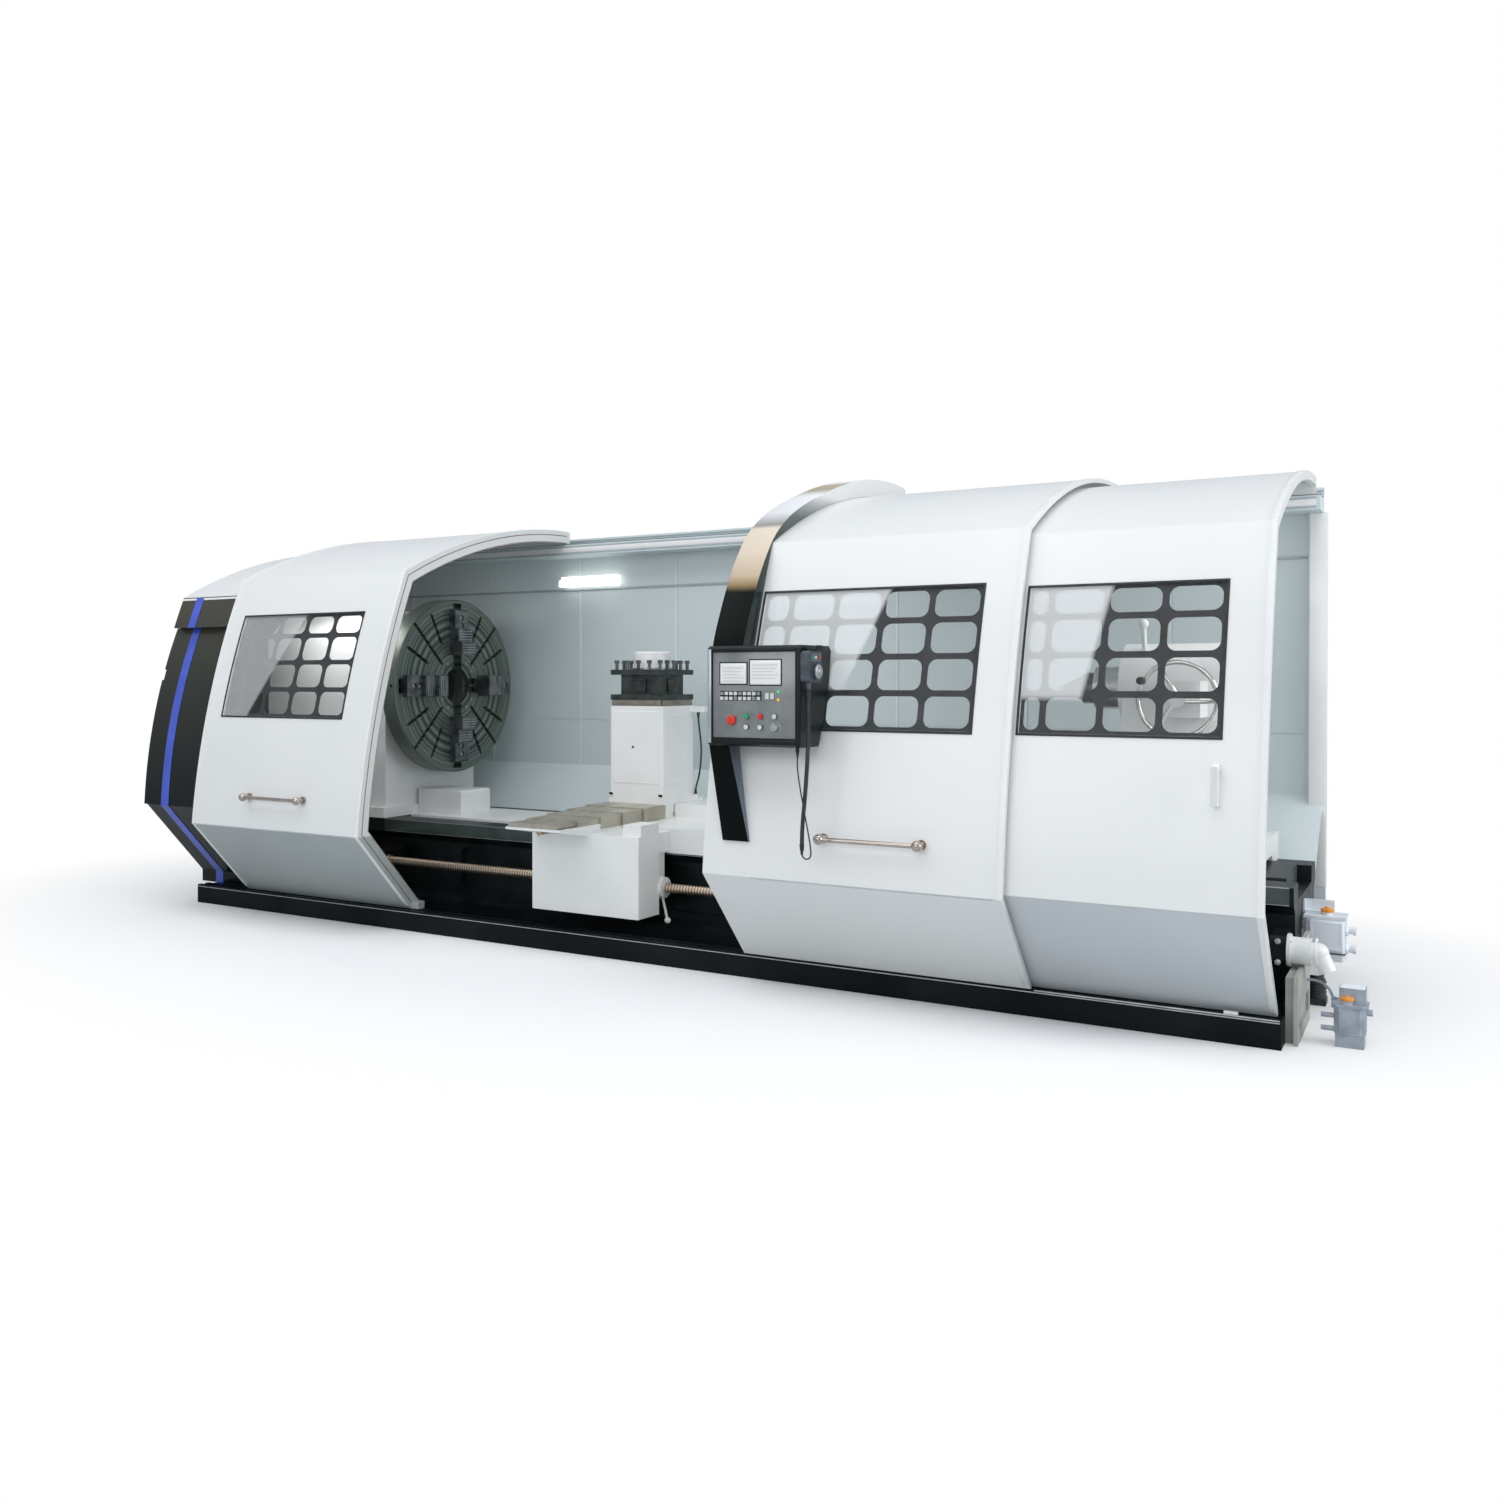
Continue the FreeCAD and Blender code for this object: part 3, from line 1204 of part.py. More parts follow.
def tail_handwheel():
    """The quill handwheel: round rim, three curved spokes, hub and shaft."""
    middle = V(wheel_x, wheel_y, wheel_z)
    rim = Part.makeTorus(wheel_radius, wheel_rim, middle, V(0, 1, 0))
    hub = rod((wheel_x, wheel_y - 24, wheel_z), (wheel_x, wheel_y + 60, wheel_z), 38)
    shaft = rod((wheel_x, wheel_y + 50, wheel_z), (wheel_x, wheel_y + 170, wheel_z), 20)
    pieces = [rim, hub, shaft]
    for number in range(3):
        turn = math.radians(95 + 120 * number)
        spoke_end = turn + math.radians(24)
        start = V(wheel_x + 20 * math.cos(turn), wheel_y, wheel_z + 20 * math.sin(turn))
        middle_turn = (turn + spoke_end) / 2 + math.radians(7)
        bend = V(wheel_x + 100 * math.cos(middle_turn), wheel_y,
                 wheel_z + 100 * math.sin(middle_turn))
        end = V(wheel_x + wheel_radius * math.cos(spoke_end), wheel_y,
                wheel_z + wheel_radius * math.sin(spoke_end))
        arc = Part.Arc(start, bend, end)
        way = arc.tangent(arc.FirstParameter)[0]
        ring = Part.Wire([Part.Circle(start, way, 11).toShape()])
        pieces.append(Part.Wire([arc.toShape()]).makePipeShell([ring], True, True))
    grip_turn = math.radians(150)
    grip = (wheel_x + wheel_radius * math.cos(grip_turn), wheel_z
            + wheel_radius * math.sin(grip_turn))
    pieces.append(rod((grip[0], wheel_y, grip[1]), (grip[0], wheel_y - 90, grip[1]), 14))
    return fuse(pieces)


# ---------------------------------------------------------------- oil units
def lube_unit():
    """The lubrication tank on the bed's end: box, lid, filler cap and outlets."""
    x = (half_length + 15, half_length + 190)
    y = (-190, -40)
    z = (250, 454)
    tank = box(x, y, z)
    edges = [e for e in tank.Edges if abs(e.tangentAt(e.FirstParameter).z) > 0.9]
    tank = tank.makeFillet(14, edges)
    lid = box((x[0] - 4, x[1] + 6), (y[0] - 4, y[1] + 4), (z[1], z[1] + 12))
    filler = rod((x[0] + 95, y[0] + 60, z[1] + 11), (x[0] + 95, y[0] + 60, z[1] + 34), 24)
    outlets = [rod((x[1] - 1, y[0] + 50, at), (x[1] + 34, y[0] + 50, at), 17)
               for at in (z[0] + 60, z[0] + 150)]
    caps = [rod((x[1] + 33, y[0] + 50, at), (x[1] + 46, y[0] + 50, at), 22)
            for at in (z[0] + 60, z[0] + 150)]
    arm = box((half_length, x[0] + 1), (y[0] + 30, y[1] - 30), (z[0] + 80, z[0] + 140))
    hanger = box((half_length, x[0] + 120), (y[0] + 100, y[1] + 4), (z[1] + 10, z[1] + 70))
    hanger = hanger.cut(box((half_length + 8, x[0] + 121), (y[0] + 99, y[1] - 4),
                            (z[1] + 20, z[1] + 71)))
    return fuse([tank, lid, filler, arm, hanger] + outlets + caps)


def coolant_pump():
    """The dark motor pump that stands on the floor behind the bed's end casting."""
    x = (half_length + seat, half_length + 100)
    middle = (x[0] + 50, -10)
    body = box(x, (middle[1] - 50, middle[1] + 50), (0, 30))
    motor = rod((*middle, 29), (*middle, 125), 44)
    cap = rod((*middle, 124), (*middle, 146), 38)
    fins = [rod((*middle, 42 + 16 * n), (*middle, 48 + 16 * n), 49) for n in range(5)]
    return fuse([body, motor, cap] + fins)


def oil_pump():
    """The floor-standing oil pump: foot, tank, deck, filler, block and its pipe."""
    x, y = half_length + 250, -base_half_width + 255
    half = 57.0
    foot = box((x - half, x + half), (y - half, y + half), (0, 58))
    tank = box((x - half - 6, x + half + 6), (y - half - 6, y + half + 6), (58, 178))
    upright = [e for e in tank.Edges if abs(e.tangentAt(e.FirstParameter).z) > 0.9]
    tank = tank.makeChamfer(22, upright)
    deck = box((x - half - 16, x + half + 16), (y - half - 13, y + half + 13), (178, 190))
    deck = deck.makeChamfer(24, [e for e in deck.Edges
                                 if abs(e.tangentAt(e.FirstParameter).z) > 0.9])
    block = prism([(y - 50, 189), (y + 62, 189), (y + 52, 258), (y - 40, 258)], x - 42, x + 62)
    filler = rod((x - 8, y - 60, 189), (x - 8, y - 60, 214), 22)
    spouts = [rod((x - half - 58, y - 20, at), (x - half + 1, y - 20, at), 11)
              for at in (70, 128)]
    side = rod((x + half - 1, y + 10, 150), (x + half + 30, y + 10, 150), 15)
    end_y = -base_half_width + 500
    pipe = tube("oil pipe", [(x - half - 10, y + 40, 184), (x - half - 30, y + 70, 222),
                             (half_length + 125, end_y - 70, 226),
                             (half_length + 92, end_y, 218),
                             (half_length + end_plate + seat, end_y, 218)], 6)
    riser = rod((x - half - 10, y + 40, 150), (x - half - 10, y + 40, 196), 12)
    return fuse([foot, tank, deck, block, filler, side, riser, pipe] + spouts)


def work_lamp():
    """The lamp tube under the rear beam, in its shallow tray."""
    x = (left_hood_x[1] - 156, left_hood_x[1] + 354)
    tray = box(x, (wall_front - 60, wall_front), (2330, 2405))
    tube_light = rod((x[0] + 15, wall_front - 66, 2352), (x[1] - 15, wall_front - 66, 2352), 20)
    ends = [box((at, at + 15), (wall_front - 90, wall_front - 50), (2328, 2376))
            for at in (x[0], x[1] - 15)]
    return fuse([tray, tube_light] + ends)


# ---------------------------------------------------------------- build all
NODES = []
os.makedirs("parts", exist_ok=True)

save("base_tray", base_tray())
save("bed", bed())
save("bed_end_cover", bed_end_cover())
save("hood_tracks", hood_tracks())
save("headstock", headstock())
save("spindle", spindle())
save("chuck_body", chuck_body())
for quarter in range(4):
    save("jaw_%d" % (quarter + 1), jaw(quarter))
save("feed_screw", feed_screw())
save("feed_motor", feed_motor())
save("left_end_cover", left_end_cover())
save("cover_stripe", cover_stripe())
save("rear_guard", rear_guard())
save("chip_slide", chip_slide())
save("work_lamp", work_lamp())

small, large = 0.0, hood_nesting
left_frame = (left_hood_x[1] - mouth_frame_width, left_hood_x[1], mouth_frame_depth)
right_frame = (right_hood_x[1] - mouth_frame_width, right_hood_x[1], mouth_frame_depth / 2)
middle_frame = (middle_hood_x[0], middle_hood_x[0] + mouth_frame_width, mouth_frame_depth)
save("left_hood", hood(left_hood_x, small, small_rear, left_window_x, left_frame,
                       (left_hood_x[1] - 1, left_hood_x[1] + 62)))
save("left_window", window_pane(left_window_x, small, glass_inset, glass_thickness))
save("left_grid", window_grid(left_window_x, small))
save("left_handle", bar_handle((handle_x[0], handle_x[0] + handle_length), small,
                               handle_height))
save("middle_hood", hood(middle_hood_x, large, large_rear, middle_window_x, middle_frame, None))
save("middle_window", window_pane(middle_window_x, large, glass_inset, glass_thickness))
save("middle_grid", window_grid(middle_window_x, large))
save("middle_handle", bar_handle((handle_x[1], handle_x[1] + handle_length), large,
                                 handle_height))
save("right_hood", hood(right_hood_x, small, small_rear, right_window_x, right_frame, None))
save("right_window", window_pane(right_window_x, small, glass_inset, glass_thickness))
save("right_grid", window_grid(right_window_x, small))
save("right_handle", upright_handle(upright_x, small, upright_z))
save("arch_band", arch_band())
save("pendant_case", pendant_case())
save("pendant_screens", pendant_screens())
save("emergency_button", emergency_button())
save("start_button", panel_button(START, BUTTON_RADIUS, 9))
save("stop_button", panel_button(STOP, BUTTON_RADIUS, 9))
save("override_knob", override_knob())
save("pulse_generator", pulse_generator())
save("generator_cord", tube("generator cord", CORD_ROUTE, CORD_RADIUS))
save("generator_lead", tube("generator lead", LEAD_ROUTE, LEAD_RADIUS))

save("saddle", saddle())
save("apron", apron())
save("cross_screw", cross_screw())
save("tool_column", tool_column())
for number in range(cover_count):
    save("way_cover_%d" % (number + 1), way_cover(number))
save("turret_block", turret_block())
save("clamp_bolts", clamp_bolts())
save("turret_cap", turret_cap())
save("turret_cable", tube("turret cable", CABLE_ROUTE, CABLE_RADIUS))

save("tailstock_body", tailstock_body())
save("quill", quill())
save("live_centre", live_centre())
save("tail_handwheel", tail_handwheel())
save("lube_unit", lube_unit())
save("coolant_pump", coolant_pump())
save("oil_pump", oil_pump())

for name, shape in NODES:
    if not shape.isValid() or shape.Volume <= 0:
        print("check", name, shape.isValid(), shape.Volume)
print(len(NODES), "nodes")
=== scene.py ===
# %% [markdown]
# # A heavy CNC turning lathe, dressed in Blender
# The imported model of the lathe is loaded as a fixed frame.  Its castings, hoods
# and screws already have their real sizes, so this lesson gives each of them a
# finish, adds the smaller pieces that a plain solid leaves out, and lights it all.

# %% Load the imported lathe
import math

import bmesh
import bpy
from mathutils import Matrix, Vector


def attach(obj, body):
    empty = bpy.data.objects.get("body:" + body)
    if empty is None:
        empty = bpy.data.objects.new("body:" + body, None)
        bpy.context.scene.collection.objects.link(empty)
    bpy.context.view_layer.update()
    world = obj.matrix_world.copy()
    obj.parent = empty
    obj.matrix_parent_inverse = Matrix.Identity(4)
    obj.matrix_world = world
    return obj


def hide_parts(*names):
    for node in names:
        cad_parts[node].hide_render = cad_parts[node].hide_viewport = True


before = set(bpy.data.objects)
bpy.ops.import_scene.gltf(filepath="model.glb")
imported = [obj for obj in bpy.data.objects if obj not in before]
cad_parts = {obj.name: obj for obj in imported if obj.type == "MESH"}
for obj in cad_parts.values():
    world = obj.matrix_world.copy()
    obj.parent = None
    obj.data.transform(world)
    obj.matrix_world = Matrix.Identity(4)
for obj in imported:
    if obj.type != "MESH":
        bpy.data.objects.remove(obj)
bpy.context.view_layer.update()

# %% [markdown]
# ## The camera
# The photograph looks at the machine from its tailstock end, at chest height, with
# a lens that shows some perspective.  The camera's place was found by matching the
# corners of the base, the chuck's rim and the windows.  A small shift does what
# cropping did to the photograph, so verticals stay straight.

# %% Place the camera
camera_data = bpy.data.cameras.new("camera")
camera = bpy.data.objects.new("camera", camera_data)
bpy.context.scene.collection.objects.link(camera)
bpy.context.scene.camera = camera
camera.location = (4.222, -7.070, 1.617)
turn, tilt = math.radians(31.17), math.radians(-0.51)
look = Vector((-math.sin(turn) * math.cos(tilt), math.cos(turn) * math.cos(tilt),
               math.sin(tilt)))
camera.rotation_euler = look.to_track_quat("-Z", "Y").to_euler()
camera_data.sensor_width = 36.0
camera_data.lens = 30.59
camera_data.shift_x = 0.0434
camera_data.shift_y = -0.0398
camera_data.clip_end = 200.0
print("camera looks along", tuple(round(v, 3) for v in look))

# %% [markdown]
# ## Light and floor
# A machine this large was lit from above by a bright hall, so its roofs are nearly
# white, its fronts pale grey and its sloping skirts a clear step darker.  One wide
# lamp overhead, softer ones from the operator's side and from the tailstock end, and
# a pale world do the same; on the left and right hoods part of the skirts' darker
# step is painted shade in their finish.  Three weak lamps under the roofs stand for
# the light that the thin sheet lets through.
# The floor looks white to the camera but throws little light back up.

# %% Hang the lamps
def hang_lamp(name, place, aim, width, height, power):
    """A soft rectangular lamp that points at a place."""
    light = bpy.data.lights.new(name, "AREA")
    light.shape = "RECTANGLE"
    light.size, light.size_y, light.energy = width, height, power
    lamp = bpy.data.objects.new(name, light)
    bpy.context.scene.collection.objects.link(lamp)
    lamp.location = place
    way = Vector(aim) - Vector(place)
    lamp.rotation_euler = way.to_track_quat("-Z", "Y").to_euler()
    return lamp


bpy.context.scene.view_settings.view_transform = "Standard"
hang_lamp("hall_light", (-0.4, -3.4, 8.5), (-0.4, 0.0, 1.0), 14.0, 7.0, 430)
hang_lamp("front_light", (1.0, -11.0, 4.2), (0.0, 0.0, 1.2), 10.0, 4.0, 215)
hang_lamp("end_light", (9.5, -0.6, 3.6), (0.5, 0.0, 1.3), 5.0, 4.0, 260)
for name, place, aim, power in (
        ("left_inside", (-2.60, -0.68, 2.16), (-2.75, -0.30, 1.30), 5.0),
        ("middle_inside", (1.75, -0.10, 2.42), (1.75, 0.25, 1.40), 1.6),
        ("right_inside", (3.20, -0.10, 2.42), (3.30, 0.60, 1.40), 2.4)):
    hang_lamp(name, place, aim, 0.7, 0.3, power).visible_camera = False


# %% Two helpers for shader nodes
def feed(owner, target, sockets):
    """Gives a node's sockets their constants, or another node's output."""
    for name, value in sockets.items():
        if isinstance(value, bpy.types.NodeSocket):
            owner.node_tree.links.new(value, target.inputs[name])
        else:
            target.inputs[name].default_value = value


def node(owner, kind, sockets=None, **settings):
    """A new node in a material or a world."""
    fresh = owner.node_tree.nodes.new("ShaderNode" + kind)
    for name, value in settings.items():
        setattr(fresh, name, value)
    feed(owner, fresh, sockets or {})
    return fresh


# %% Colour the world and lay the floor
world = bpy.data.worlds.new("hall")
bpy.context.scene.world = world
world.use_nodes = True
world.node_tree.nodes.clear()
path = node(world, "LightPath")
seen = node(world, "Background", {"Color": (1, 1, 1, 1)})
soft = node(world, "Background", {"Color": (0.86, 0.92, 1.0, 1), "Strength": 0.55})
choose = node(world, "MixShader", {0: path.outputs["Is Camera Ray"], 1: soft.outputs[0],
                                   2: seen.outputs[0]})
node(world, "OutputWorld", {"Surface": choose.outputs[0]})

bpy.ops.object.select_all(action="DESELECT")
bpy.ops.mesh.primitive_grid_add(x_subdivisions=8, y_subdivisions=8, size=60,
                                location=(0, 0, -0.001))
floor = bpy.context.object
floor.name = "hall_floor"
bpy.ops.object.transform_apply(location=True, rotation=True, scale=True)
paint = bpy.data.materials.new("pale_floor")
paint.use_nodes = True
paint.node_tree.nodes.clear()
where = node(paint, "TexCoord")
spread = node(paint, "Mapping", {"Vector": where.outputs["Object"], "Scale": (0.16, 0.28, 1)})
ball = node(paint, "TexGradient", {"Vector": spread.outputs[0]}, gradient_type="SPHERICAL")
fade = node(paint, "MapRange", {"Value": ball.outputs["Fac"], "From Max": 0.45})
white = node(paint, "Emission")
bright = node(paint, "BsdfDiffuse", {"Color": (0.93, 0.93, 0.93, 1)})
dull = node(paint, "BsdfDiffuse", {"Color": (0.62, 0.64, 0.65, 1)})
near = node(paint, "MixShader", {0: fade.outputs[0], 1: white.outputs[0],
                                 2: bright.outputs[0]})
path = node(paint, "LightPath")
by_ray = node(paint, "MixShader", {0: path.outputs["Is Camera Ray"], 1: dull.outputs[0],
                                   2: near.outputs[0]})
node(paint, "OutputMaterial", {"Surface": by_ray.outputs[0]})
floor.data.materials.append(paint)
print("floor laid:", len(floor.data.polygons), "tiles")

# %% [markdown]
# ## Finishes
# Every finish starts from the same shader.  Colour is never quite even on a real
# machine, so a slow noise moves it between two close tones, a fine noise gives the
# paint its orange peel or the steel its grain, and a third changes how rough the
# surface is, as fingers and coolant do.

# %% Helpers that mix a finish
def shade(finish, sockets):
    """Feeds the finish's own shader."""
    feed(finish, finish.node_tree.nodes["Principled BSDF"], sockets)


def new_finish(name, roughness, metal=0.0, coat=0.0, coat_rough=0.06, sheen=0.5):
    """An empty finish with its constants set on the shader's own sockets."""
    finish = bpy.data.materials.new(name)
    finish.use_nodes = True
    shade(finish, {"Roughness": roughness, "Metallic": metal, "Coat Weight": coat,
                   "Coat Roughness": coat_rough, "Specular IOR Level": sheen})
    return finish


def own_place(finish):
    """The X, Y and Z of the piece's own coordinates."""
    where = node(finish, "TexCoord")
    return node(finish, "SeparateXYZ", {0: where.outputs["Object"]}).outputs


def noise_at(finish, scale, detail, stretch=(1, 1, 1)):
    """A noise on object coordinates, stretched along one axis if asked."""
    where = node(finish, "TexCoord")
    spread = node(finish, "Mapping", {"Vector": where.outputs["Object"], "Scale": stretch})
    return node(finish, "TexNoise", {"Vector": spread.outputs[0], "Scale": scale,
                                     "Detail": detail}).outputs["Fac"]


def ramp(finish, factor, stops):
    """Colours that follow a factor from stop to stop."""
    fresh = node(finish, "ValToRGB", {"Fac": factor})
    marks = fresh.color_ramp.elements
    for number, (place, colour) in enumerate(stops):
        stop = marks[number] if number < 2 else marks.new(place)
        stop.position = place
        stop.color = (*colour, 1)
    return fresh.outputs["Color"]


def two_tones(finish, first, second, scale, stretch=(1, 1, 1)):
    """Colour that drifts between two close tones."""
    drift = noise_at(finish, scale, 4.0, stretch)
    colour = ramp(finish, drift, ((0.35, first), (0.65, second)))
    shade(finish, {"Base Color": colour})
    return colour


def emboss(finish, height, strength, distance):
    """Relief from a height."""
    bump = node(finish, "Bump", {"Height": height, "Strength": strength,
                                 "Distance": distance})
    shade(finish, {"Normal": bump.outputs[0]})


def peel(finish, scale, strength, distance=0.001, stretch=(1, 1, 1)):
    """A fine relief: orange peel on paint, sand on castings, grain on steel."""
    emboss(finish, noise_at(finish, scale, 2.0, stretch), strength, distance)


def handled(finish, low, high, scale):
    """Roughness that changes where the surface was wiped and touched."""
    span = node(finish, "MapRange", {"Value": noise_at(finish, scale, 5.0), "To Min": low,
                                     "To Max": high})
    shade(finish, {"Roughness": span.outputs[0]})


def painted(name, first, second, roughness, scale=10, grain=200, relief=0.08, depth=0.0006,
            worn=None, **more):
    """A painted, moulded or machined finish: tones, and a grain and wear if asked."""
    finish = new_finish(name, roughness, **more)
    two_tones(finish, first, second, scale)
    if grain:
        peel(finish, grain, relief, depth)
    if worn:
        handled(finish, *worn)
    return finish


# %% Helpers for finishes that change over the piece
def past(finish, axis, low, high):
    """Nought below a value of a coordinate and one above it."""
    return node(finish, "MapRange", {"Value": own_place(finish)[axis], "From Min": low,
                                     "From Max": high}).outputs[0]


def two_zones(finish, factor, first, second):
    """One colour where the factor is nought and another one where it is one."""
    mix = node(finish, "Mix", data_type="RGBA")
    feed(finish, mix, {0: factor, 6: first, 7: second})
    shade(finish, {"Base Color": mix.outputs[2]})


def painted_reflection_by_height(finish, low, high, stops, wander):
    """Painted reflection: colour that changes up the piece, softened by a slow noise."""
    push = node(finish, "Math", {0: noise_at(finish, 3.0, 2.0), 1: wander,
                                 2: own_place(finish)["Z"]}, operation="MULTIPLY_ADD")
    span = node(finish, "MapRange", {"Value": push.outputs[0], "From Min": low,
                                     "From Max": high})
    shade(finish, {"Base Color": ramp(finish, span.outputs[0], stops)})


print("finish helpers ready")

# %% [markdown]
# The sheet-metal hoods have a smooth white powder coat, a little warmer than the
# bluish guard behind the bed.  The castings carry a thicker enamel over sand-cast
# iron, and the base and bed are black with an oily gloss.

# %% Paints
hood_tones = (0.80, 0.81, 0.80), (0.84, 0.845, 0.835)
hood_wear = (0.26, 0.4, 2.2)
skirt_top, skirt_blend = 0.637, 0.005
hood_white = painted("hood_white", *hood_tones, 0.32, 0.7, 260, 0.05, 0.001, hood_wear,
                     coat=0.25, coat_rough=0.12)


def painted_skirt_shade(name, skirt_first, skirt_second):
    """The hood's white with painted shade: a greyer skirt below the knee."""
    finish = new_finish(name, 0.32, coat=0.25, coat_rough=0.12)
    low = two_tones(finish, skirt_first, skirt_second, 0.9)
    high = two_tones(finish, *hood_tones, 0.7)
    at_knee = past(finish, "Z", skirt_top - skirt_blend, skirt_top + skirt_blend)
    two_zones(finish, at_knee, low, high)
    peel(finish, 260, 0.05)
    handled(finish, *hood_wear)
    return finish


# The left and right hoods' skirts are painted darker below the knee: painted shade.
left_white_skirt_shade = painted_skirt_shade("left_white_skirt_shade", (0.40, 0.44, 0.435), (0.45, 0.49, 0.48))
right_white_skirt_shade = painted_skirt_shade("right_white_skirt_shade", (0.58, 0.62, 0.64), (0.64, 0.68, 0.70))
guard_grey = painted("guard_grey", (0.60, 0.68, 0.69), (0.67, 0.74, 0.75), 0.45, 0.9, 220, 0.05,
                     0.001, (0.38, 0.55, 1.7))
casting_white = painted("casting_white", (0.82, 0.83, 0.82), (0.87, 0.875, 0.86), 0.38, 3.0, 90,
                        0.16, 0.002, (0.3, 0.5, 6), coat=0.2, coat_rough=0.15)
base_black = painted("base_black", (0.003, 0.004, 0.005), (0.008, 0.011, 0.012), 0.42, 2.5, 120,
                     0.1, 0.001, (0.34, 0.55, 3), coat=0.02, coat_rough=0.2, sheen=0.12)
bed_black = painted("bed_black", (0.004, 0.006, 0.007), (0.012, 0.016, 0.017), 0.4, 5, 60, 0.25,
                    0.002, (0.25, 0.5, 8), coat=0.03, coat_rough=0.15, sheen=0.15)
stripe_blue = painted("stripe_blue", (0.035, 0.075, 0.48), (0.06, 0.11, 0.60), 0.28, 4, 200,
                      0.04, 0.001, coat=0.4)
end_beige = painted("end_beige", (0.36, 0.37, 0.33), (0.50, 0.50, 0.46), 0.45, 5, 80, 0.2, 0.002)
pump_grey = painted("pump_grey", (0.72, 0.76, 0.81), (0.82, 0.86, 0.90), 0.4, 12, 110, 0.15,
                    0.001, (0.3, 0.55, 20), coat=0.2)
oil_grey = painted("oil_grey", (0.24, 0.28, 0.34), (0.40, 0.44, 0.50), 0.38, 14, 110, 0.15,
                   0.001, coat=0.2)
motor_dark = painted("motor_dark", (0.02, 0.024, 0.028), (0.05, 0.055, 0.06), 0.4, 20, 90, 0.2,
                     0.001)

slide_paint = new_finish("slide_paint", 0.4, sheen=0.3)
slide_white = two_tones(slide_paint, (0.78, 0.80, 0.79), (0.84, 0.85, 0.84), 3)
slide_dark = two_tones(slide_paint, (0.016, 0.022, 0.022), (0.035, 0.042, 0.042), 5)
two_zones(slide_paint, past(slide_paint, "X", 2.19, 2.2), slide_white, slide_dark)
peel(slide_paint, 90, 0.16, 0.002)
print("paints:", len(bpy.data.materials))

# %% [markdown]
# The arch and the end cover are glossy, and what they mirror is painted into their
# colour as a painted reflection that changes with height: dark near the floor, then
# the warm and the pale parts of the hall.

# %% Glossy black sheet with a painted reflection that changes with height
# The arch's front: near black low down, then painted reflections of the warm hall and pale bands
# higher up.
arch_black = new_finish("arch_black", 0.34, sheen=0.08)
painted_reflection_by_height(arch_black, 0.8, 2.9, [
    (0.0, (0.003, 0.004, 0.004)), (0.615, (0.003, 0.006, 0.005)), (0.632, (0.30, 0.21, 0.11)),
    (0.655, (0.55, 0.44, 0.31)), (0.72, (0.70, 0.60, 0.48)), (0.785, (0.74, 0.66, 0.54)),
    (0.797, (0.30, 0.29, 0.28)), (0.835, (0.74, 0.75, 0.78)), (0.90, (0.84, 0.84, 0.86)),
    (0.925, (0.40, 0.34, 0.24)), (0.955, (0.52, 0.44, 0.32)), (0.965, (0.88, 0.88, 0.87))],
    0.03)
peel(arch_black, 40, 0.01)

# The arch's sides: painted reflections, bluish low down and pale near the top.
arch_side_reflection = new_finish("arch_side_reflection", 0.3, coat=0.06, coat_rough=0.1, sheen=0.3)
painted_reflection_by_height(arch_side_reflection, 0.8, 2.9, [
    (0.0, (0.14, 0.18, 0.22)), (0.20, (0.11, 0.14, 0.17)), (0.32, (0.012, 0.020, 0.020)),
    (0.60, (0.008, 0.022, 0.018)), (0.76, (0.035, 0.055, 0.05)), (0.82, (0.11, 0.13, 0.125)),
    (0.87, (0.42, 0.44, 0.43)), (0.90, (0.80, 0.81, 0.80))], 0.03)
peel(arch_side_reflection, 40, 0.01)

# The end cover's front: black that grows lighter and warmer upwards, a painted reflection.
cover_black_reflection = new_finish("cover_black_reflection", 0.24, coat=0.08, coat_rough=0.1, sheen=0.2)
painted_reflection_by_height(cover_black_reflection, 0.1, 2.7, [
    (0.0, (0.002, 0.003, 0.003)), (0.30, (0.004, 0.006, 0.006)),
    (0.60, (0.030, 0.032, 0.025)), (0.80, (0.062, 0.060, 0.045))], 0.10)
peel(cover_black_reflection, 160, 0.03)
print("glossy sheets:", arch_black.name, arch_side_reflection.name, cover_black_reflection.name)

# %% [markdown]
# Steel that is turned or ground shows grain along the cut, and oil makes it patchy.
# The way covers are rolled sheet with a warm tone.

# %% Metals
ground_steel = new_finish("ground_steel", 0.25, metal=1.0)
two_tones(ground_steel, (0.55, 0.56, 0.56), (0.70, 0.70, 0.69), 6, (0.2, 4, 4))
peel(ground_steel, 300, 0.08, 0.0005, (0.1, 6, 6))
handled(ground_steel, 0.18, 0.38, 10)

cover_steel = new_finish("cover_steel", 0.36, metal=0.7)
two_tones(cover_steel, (0.40, 0.37, 0.30), (0.54, 0.51, 0.44), 5, (4, 0.5, 1))
peel(cover_steel, 280, 0.08, 0.0005, (0.2, 5, 5))
handled(cover_steel, 0.28, 0.5, 9)

jaw_steel = painted("jaw_steel", (0.08, 0.09, 0.095), (0.20, 0.21, 0.215), 0.34, 14, 260, 0.1,
                    metal=0.85)
handle_satin = painted("handle_satin", (0.90, 0.91, 0.91), (0.94, 0.94, 0.94), 0.2, 20, 300,
                       0.05, 0.0005, metal=0.35, coat=0.4)
chrome = painted("chrome", (0.72, 0.70, 0.66), (0.82, 0.80, 0.77), 0.08, 10, 0, metal=1.0)
handle_nickel = painted("handle_nickel", (0.44, 0.38, 0.34), (0.58, 0.52, 0.47), 0.14, 12, 0,
                        metal=1.0)
